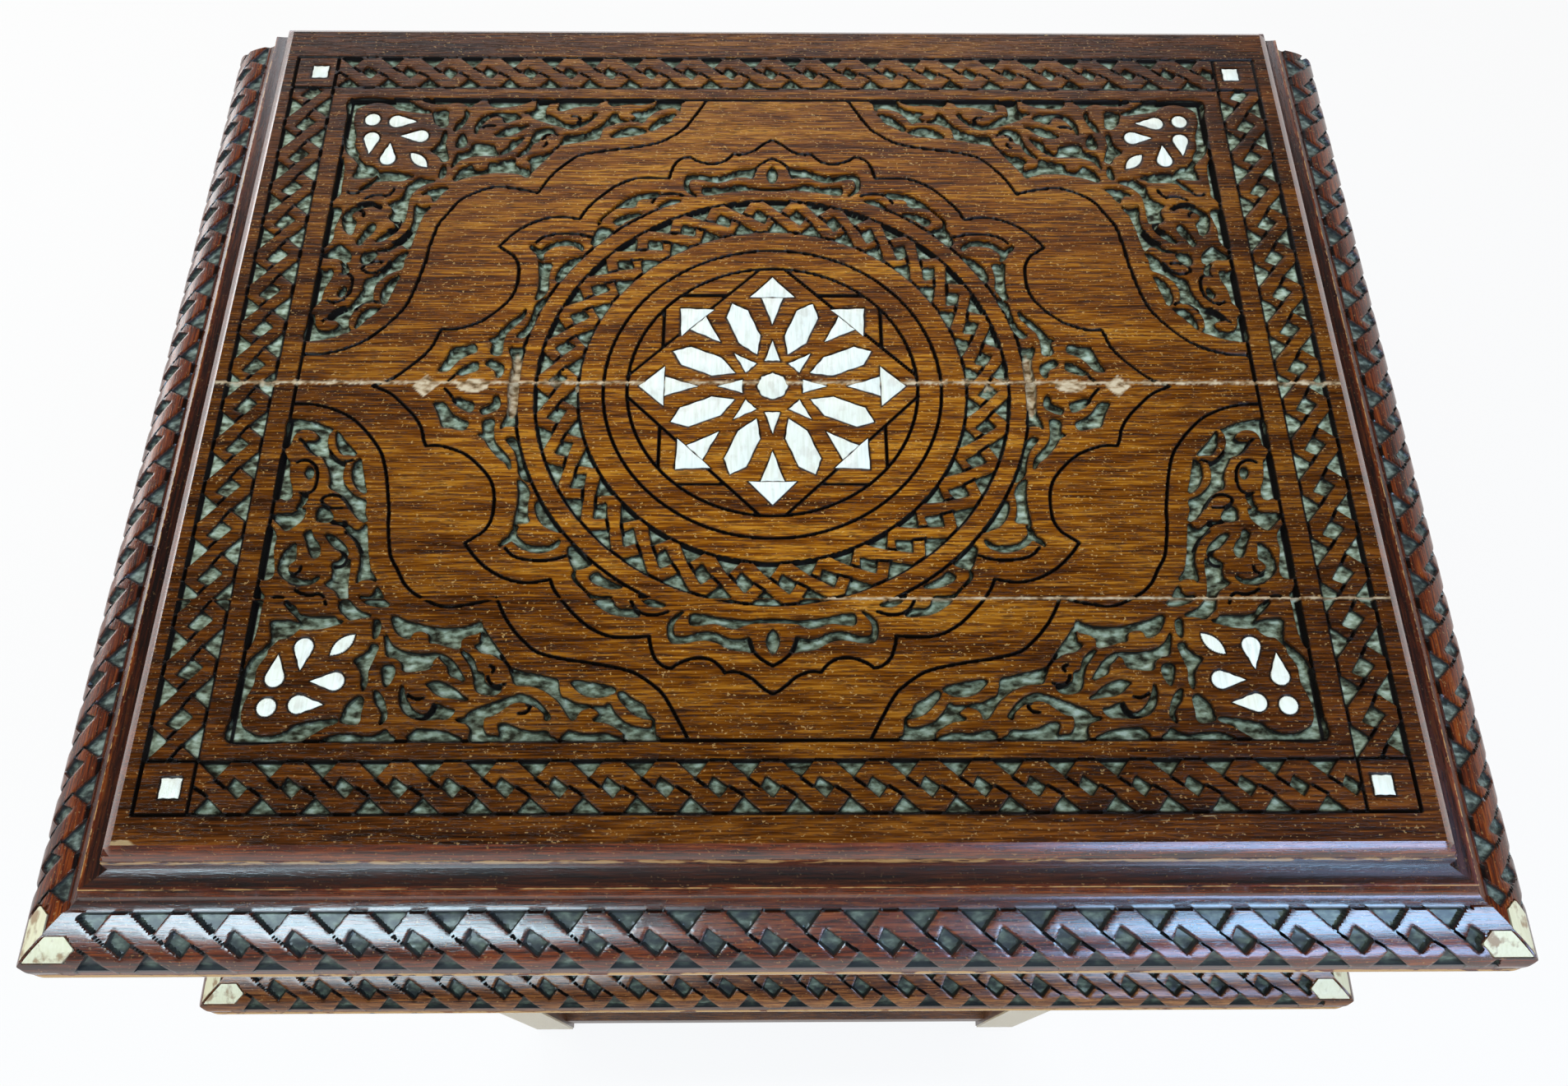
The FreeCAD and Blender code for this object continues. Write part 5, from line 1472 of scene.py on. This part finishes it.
front_finish = moulding_walnut("walnut_moulded_front_grain", 0, RAIL_STAIN, RAIL_GROUND, 1.0)
lower_finish = moulding_walnut("walnut_moulded_lower_rail", 0, LOWER_STAIN_PAINTED_LIGHT, RAIL_GROUND, 0.5)
flank_finish = moulding_walnut("walnut_moulded_side_grain", 1, RAIL_STAIN, FLANK_GROUND, 0.45)
for rail in rails:
    front_kind = front_finish if "lid" in rail.name else lower_finish
    rail.data.materials.append(front_kind if "front" in rail.name else flank_finish)
print("moulding finish on", len(rails), "rails")

# %% [markdown]
# ### Plain walnut and inner wood
# The box walls, stand and shelf are plain stained walnut. Battens, corner blocks and the bottom are
# sanded beech, which nobody stained because it isn't seen when the lid is down. Both use the walnut recipe:
# beech is paler, and it is rougher to the light because it has no varnish.

# %% Plain woods
PLAIN_STAIN = [(0.37, "#231006"), (0.46, "#43230e"), (0.55, "#5f3616"), (0.66, "#7d4c24")]
INNER_STAIN = [(0.37, "#6b4826"), (0.48, "#94693d"), (0.56, "#a97f50"), (0.66, "#bd9766")]


def plain_wood(name, axis, stops, rough, fleck):
    """Flat wood along an axis."""
    material, tree = new_material(name)
    place = add(tree, "ShaderNodeTexCoord").outputs["Object"]
    colour, height = walnut(tree, place, axis, stops, linear(fleck))
    grain = add(tree, "ShaderNodeBump", {"Height": height, "Distance": 0.12 * MM, "Strength": 0.6})
    surface = add(tree, "ShaderNodeBsdfPrincipled", {"Base Color": colour, "Roughness": rough, "IOR": 1.5,
                                                     "Normal": grain})
    add(tree, "ShaderNodeOutputMaterial", {"Surface": surface})
    return material


stained = [plain_wood("walnut_stained_grain_" + "xyz"[axis], axis, PLAIN_STAIN, 0.36, "#9a7448")
           for axis in range(3)]
inner = [plain_wood("beech_sanded_grain_" + "xyz"[axis], axis, INNER_STAIN, 0.6, "#cdb084")
         for axis in range(3)]

for board in boards:
    for finish in (panel_finish, front_finish, stained[0]):
        board.data.materials.append(finish)
print("panel, edge and underside finish on", len(boards), "boards")

# %% [markdown]
# ### Bone
# Polished bone is ivory white with faint saw lines, warmer in some slips than in others. Its rim takes a
# dark line of glue. At the mitres of the mouldings hands have worn it and brown stain sits in its pits.
# The tone comes from the points of each slip, so a single material can serve slips that all differ.

# %% Bone
def polished_bone(name, stain, age):
    """Ivory bone: saw lines, tone for each slip, dark rim, brown stains of a strength, yellow of an age."""
    material, tree = new_material(name)
    place = add(tree, "ShaderNodeTexCoord").outputs["Object"]
    layers = streaks(tree, place, 1, {"saw": (7.0, 0.7, 3.0), "blot": (5.0, 4.0, 5.0)})
    colour = add(tree, "ShaderNodeValToRGB", {"Fac": layers["saw"]},
                 [(0.32, "#dcdbc9"), (0.5, "#e8e7d8"), (0.68, "#f0f0e4")])
    tone = add(tree, "ShaderNodeAttribute", attribute_name="tone").outputs["Fac"]
    warm = add(tree, "ShaderNodeMath", {0: tone, 1: 0.45}, operation="MULTIPLY")
    colour = add(tree, "ShaderNodeMix", {"Factor": warm, "A": colour, "B": linear("#e6dfc6")},
                 data_type="RGBA")
    colour = add(tree, "ShaderNodeMix", {"Factor": age, "A": colour, "B": linear("#dcc98e")},
                 data_type="RGBA")
    blot = add(tree, "ShaderNodeMapRange", {"Value": layers["blot"], "From Min": 0.54, "From Max": 0.64,
                                            "To Max": stain})
    colour = add(tree, "ShaderNodeMix", {"Factor": blot, "A": colour, "B": linear("#8a5a30")},
                 data_type="RGBA")
    rim = add(tree, "ShaderNodeAttribute", attribute_name="rim").outputs["Fac"]
    line = add(tree, "ShaderNodeMapRange", {"Value": rim, "From Min": 0.25, "From Max": 0.9, "To Max": 0.75})
    colour = add(tree, "ShaderNodeMix", {"Factor": line, "A": colour, "B": linear("#5a4026")},
                 data_type="RGBA")
    saw = add(tree, "ShaderNodeBump", {"Height": layers["saw"], "Distance": 0.05 * MM, "Strength": 0.5})
    surface = add(tree, "ShaderNodeBsdfPrincipled", {"Base Color": colour, "Roughness": 0.4, "IOR": 1.54,
                                                     "Normal": saw})
    add(tree, "ShaderNodeOutputMaterial", {"Surface": surface})
    return material


slip_bone = polished_bone("bone_sawn_and_polished", 0.15, 0.0)
mitre_bone = polished_bone("bone_worn_and_stained", 0.75, 0.6)
for slip in slips:
    slip.data.materials.append(slip_bone)
for slip in mitre_pieces:
    slip.data.materials.append(mitre_bone)
print("bone finish on", len(slips) + len(mitre_pieces), "groups of slips")

# %% [markdown]
# ### Mosaic of the legs
# The outer faces of the legs wear a skin of tiny diamond slips, cream bone and gold wood with dark dots.
# Real slips are three to four millimetres long, so a cell of that size repeats over the face. Thousands of
# slips could be modelled, but they lie flush and show no edge, so a texture of cells draws them.

# %% Leg mosaic
SLIP_SIZE = 3.6


def leg_mosaic():
    """Diamond cells between two families of lines that climb left and right: dot, cream, gold, joint."""
    material, tree = new_material("mosaic_bone_and_wood_glued")
    place = add(tree, "ShaderNodeTexCoord").outputs["Object"]
    pitch = 1 / (SLIP_SIZE * MM)
    climb_right = add(tree, "ShaderNodeVectorMath", {0: place, 1: (pitch, pitch, pitch)},
                      operation="DOT_PRODUCT")
    climb_left = add(tree, "ShaderNodeVectorMath", {0: place, 1: (pitch, pitch, -pitch)},
                     operation="DOT_PRODUCT")
    tiles = add(tree, "ShaderNodeCombineXYZ", {"X": climb_right.outputs["Value"],
                                               "Y": climb_left.outputs["Value"]})
    cells = add(tree, "ShaderNodeTexVoronoi", {"Vector": tiles, "Scale": 1.0, "Randomness": 0.0},
                voronoi_dimensions="2D", distance="CHEBYCHEV")
    colour = add(tree, "ShaderNodeValToRGB", {"Fac": cells.outputs["Distance"]},
                 [(0.1, "#6a3f1a"), (0.16, "#f2ead0"), (0.34, "#eadfba"), (0.4, "#c9a866"),
                  (0.47, "#7a5224")])
    surface = add(tree, "ShaderNodeBsdfPrincipled", {"Base Color": colour, "Roughness": 0.35, "IOR": 1.5})
    add(tree, "ShaderNodeOutputMaterial", {"Surface": surface})
    return material


mosaic = leg_mosaic()
print(mosaic.name, "with cells of", SLIP_SIZE, "mm")

# %% [markdown]
# ### Metal
# The hinges are rolled brass gone dull, the screws of the corner blocks plain steel. Fine rubbing marks
# spread their shine. Real ones are too fine to show, so they are drawn nearly half a millimetre wide. They
# change the roughness only, because the metal is smooth to the touch and needs no bump.

# %% Metals
def rubbed_metal(name, code, rough):
    """Dull metal whose roughness varies along fine rubbing marks."""
    material, tree = new_material(name)
    place = add(tree, "ShaderNodeTexCoord").outputs["Object"]
    layers = streaks(tree, place, 0, {"rub": (12.0, 0.4, 3.0)})
    spread = add(tree, "ShaderNodeMapRange", {"Value": layers["rub"], "To Min": rough - 0.1,
                                              "To Max": rough + 0.14})
    surface = add(tree, "ShaderNodeBsdfPrincipled", {"Base Color": linear(code), "Metallic": 1.0,
                                                     "Roughness": spread})
    add(tree, "ShaderNodeOutputMaterial", {"Surface": surface})
    return material


brass = rubbed_metal("brass_rolled_dull", "#b08d4c", 0.38)
steel = rubbed_metal("steel_turned_plain", "#9a9a98", 0.35)
print(brass.name, "and", steel.name)

# %% [markdown]
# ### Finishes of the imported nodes
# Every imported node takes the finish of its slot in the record. Plain wood takes the recipe whose grain
# runs along the node's longest side.

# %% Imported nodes
BY_SLOT = {"mosaic": mosaic, "hinge_brass": brass, "screw_steel": steel, "bone": mitre_bone}
slots = {part["node"]: part["material_slot"] for part in frame["record"]["subparts"]}
for name, solid in nodes.items():
    low, high = extent(name)
    longest = int(np.argmax(high - low))
    woods = inner if slots[name] == "inner_wood" else stained
    solid.data.materials.clear()
    solid.data.materials.append(BY_SLOT.get(slots[name], woods[longest]))
print(len(nodes), "packed nodes finished")

# %% [markdown]
# ## Floor, light and background
# The floor is plain and pale. Two cool windows stand in front, left and right of whoever looks down at the
# box, so the varnish of the front moulding shines on both sides and stays dark in the middle. A low window
# on the right gives the thumb edge of the panel its blue line. A small skylight lights the front right
# corner, a wide window behind lifts the back of the panel, and a lamp behind on the left draws the bright
# line along the panel's left edge. The room is white at eye level and dim overhead, so the flat lid keeps
# its deep colour. The floor glows to the eye only, so it stays pale and still keeps the shadow.

# %% Floor
SPAN = 6.0
FLOOR_GLOW = 0.85


def shown_to_eye(tree):
    """One for rays that bring a picture to the eye, straight, reflected or through glass; else nought."""
    rays = add(tree, "ShaderNodeLightPath").outputs
    shown = add(tree, "ShaderNodeMath", {0: rays["Is Camera Ray"], 1: rays["Is Glossy Ray"]},
                operation="MAXIMUM")
    return add(tree, "ShaderNodeMath", {0: shown, 1: rays["Is Transmission Ray"]}, operation="MAXIMUM")


floor_data = bpy.data.meshes.new("floor")
floor_corners = [(-SPAN, -SPAN, 0), (SPAN, -SPAN, 0), (SPAN, SPAN, 0), (-SPAN, SPAN, 0)]
floor_data.from_pydata(floor_corners, [], [(0, 1, 2, 3)])
floor = bpy.data.objects.new("floor", floor_data)
bpy.context.scene.collection.objects.link(floor)
floor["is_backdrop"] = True
floor_finish, floor_tree = new_material("plain_pale_floor")
matte = add(floor_tree, "ShaderNodeBsdfDiffuse", {"Color": linear("#f2f1ef")})
glow = add(floor_tree, "ShaderNodeEmission", {"Color": (1.0, 1.0, 1.0, 1.0), "Strength": 1.0})
share = add(floor_tree, "ShaderNodeMath", {0: shown_to_eye(floor_tree), 1: FLOOR_GLOW}, operation="MULTIPLY")
both = add(floor_tree, "ShaderNodeMixShader", {0: share, 1: matte, 2: glow})
add(floor_tree, "ShaderNodeOutputMaterial", {"Surface": both})
floor_data.materials.append(floor_finish)
print("floor", 2 * SPAN, "m wide")

# %% Lamps
def soft_lamp(name, place, target, size, power, code):
    """Rectangular area lamp turned to a target."""
    data = bpy.data.lights.new(name, "AREA")
    data.shape = "RECTANGLE"
    data.size, data.size_y = size
    data.energy = power
    data.color = linear(code)[:3]
    lamp = bpy.data.objects.new(name, data)
    lamp.location = place
    lamp.rotation_euler = (Vector(target) - Vector(place)).to_track_quat("-Z", "Y").to_euler()
    bpy.context.scene.collection.objects.link(lamp)
    return lamp


LID = (0.0, 0.0, TOP * MM)
lamps = [soft_lamp("window_left", (-0.62, -0.68, 1.9), LID, (0.85, 0.42), 15.0, "#d4f0ff"),
         soft_lamp("window_right", (0.72, -0.68, 1.9), LID, (0.65, 0.42), 13.0, "#acd6ff"),
         soft_lamp("low_window", (0.7, -1.34, 1.31), LID, (0.6, 0.4), 8.0, "#b4ceff"),
         soft_lamp("skylight", (0.95, 0.0, 2.15), LID, (0.45, 0.4), 1.2, "#bccfff"),
         soft_lamp("back_window", (-0.1, 1.75, 1.9), LID, (2.0, 0.5), 20.0, "#f6f8ff"),
         soft_lamp("left_edge", (-1.7, 0.9, 0.72), LID, (0.9, 0.5), 7.0, "#ffffff")]
print("lamps", [lamp.name for lamp in lamps])

# %% Room
world = bpy.data.worlds.new("studio")
bpy.context.scene.world = world
world.use_nodes = True
room = world.node_tree
room.nodes.clear()
upward = add(room, "ShaderNodeSeparateXYZ", {"Vector": add(room, "ShaderNodeTexCoord").outputs["Generated"]})
ceiling = add(room, "ShaderNodeMapRange", {"Value": upward.outputs["Z"], "From Min": 0.2, "From Max": 0.4,
                                           "To Min": 1.0, "To Max": 0.1})
backdrop = add(room, "ShaderNodeBackground", {"Color": (1.0, 1.0, 1.0, 1.0), "Strength": ceiling})
fill = add(room, "ShaderNodeBackground", {"Color": linear("#ffefd8"), "Strength": 0.34})
sky = add(room, "ShaderNodeMixShader", {0: shown_to_eye(room), 1: fill, 2: backdrop})
add(room, "ShaderNodeOutputWorld", {"Surface": sky})
bpy.context.scene.view_settings.view_transform = "Standard"
print("view transform", bpy.context.scene.view_settings.view_transform)

# %% [markdown]
# ## Sizes
# The whole extent of the box is printed.

# %% Sizes
low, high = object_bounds()
print("visual box", [round(v, 4) for v in (*low, *high)])
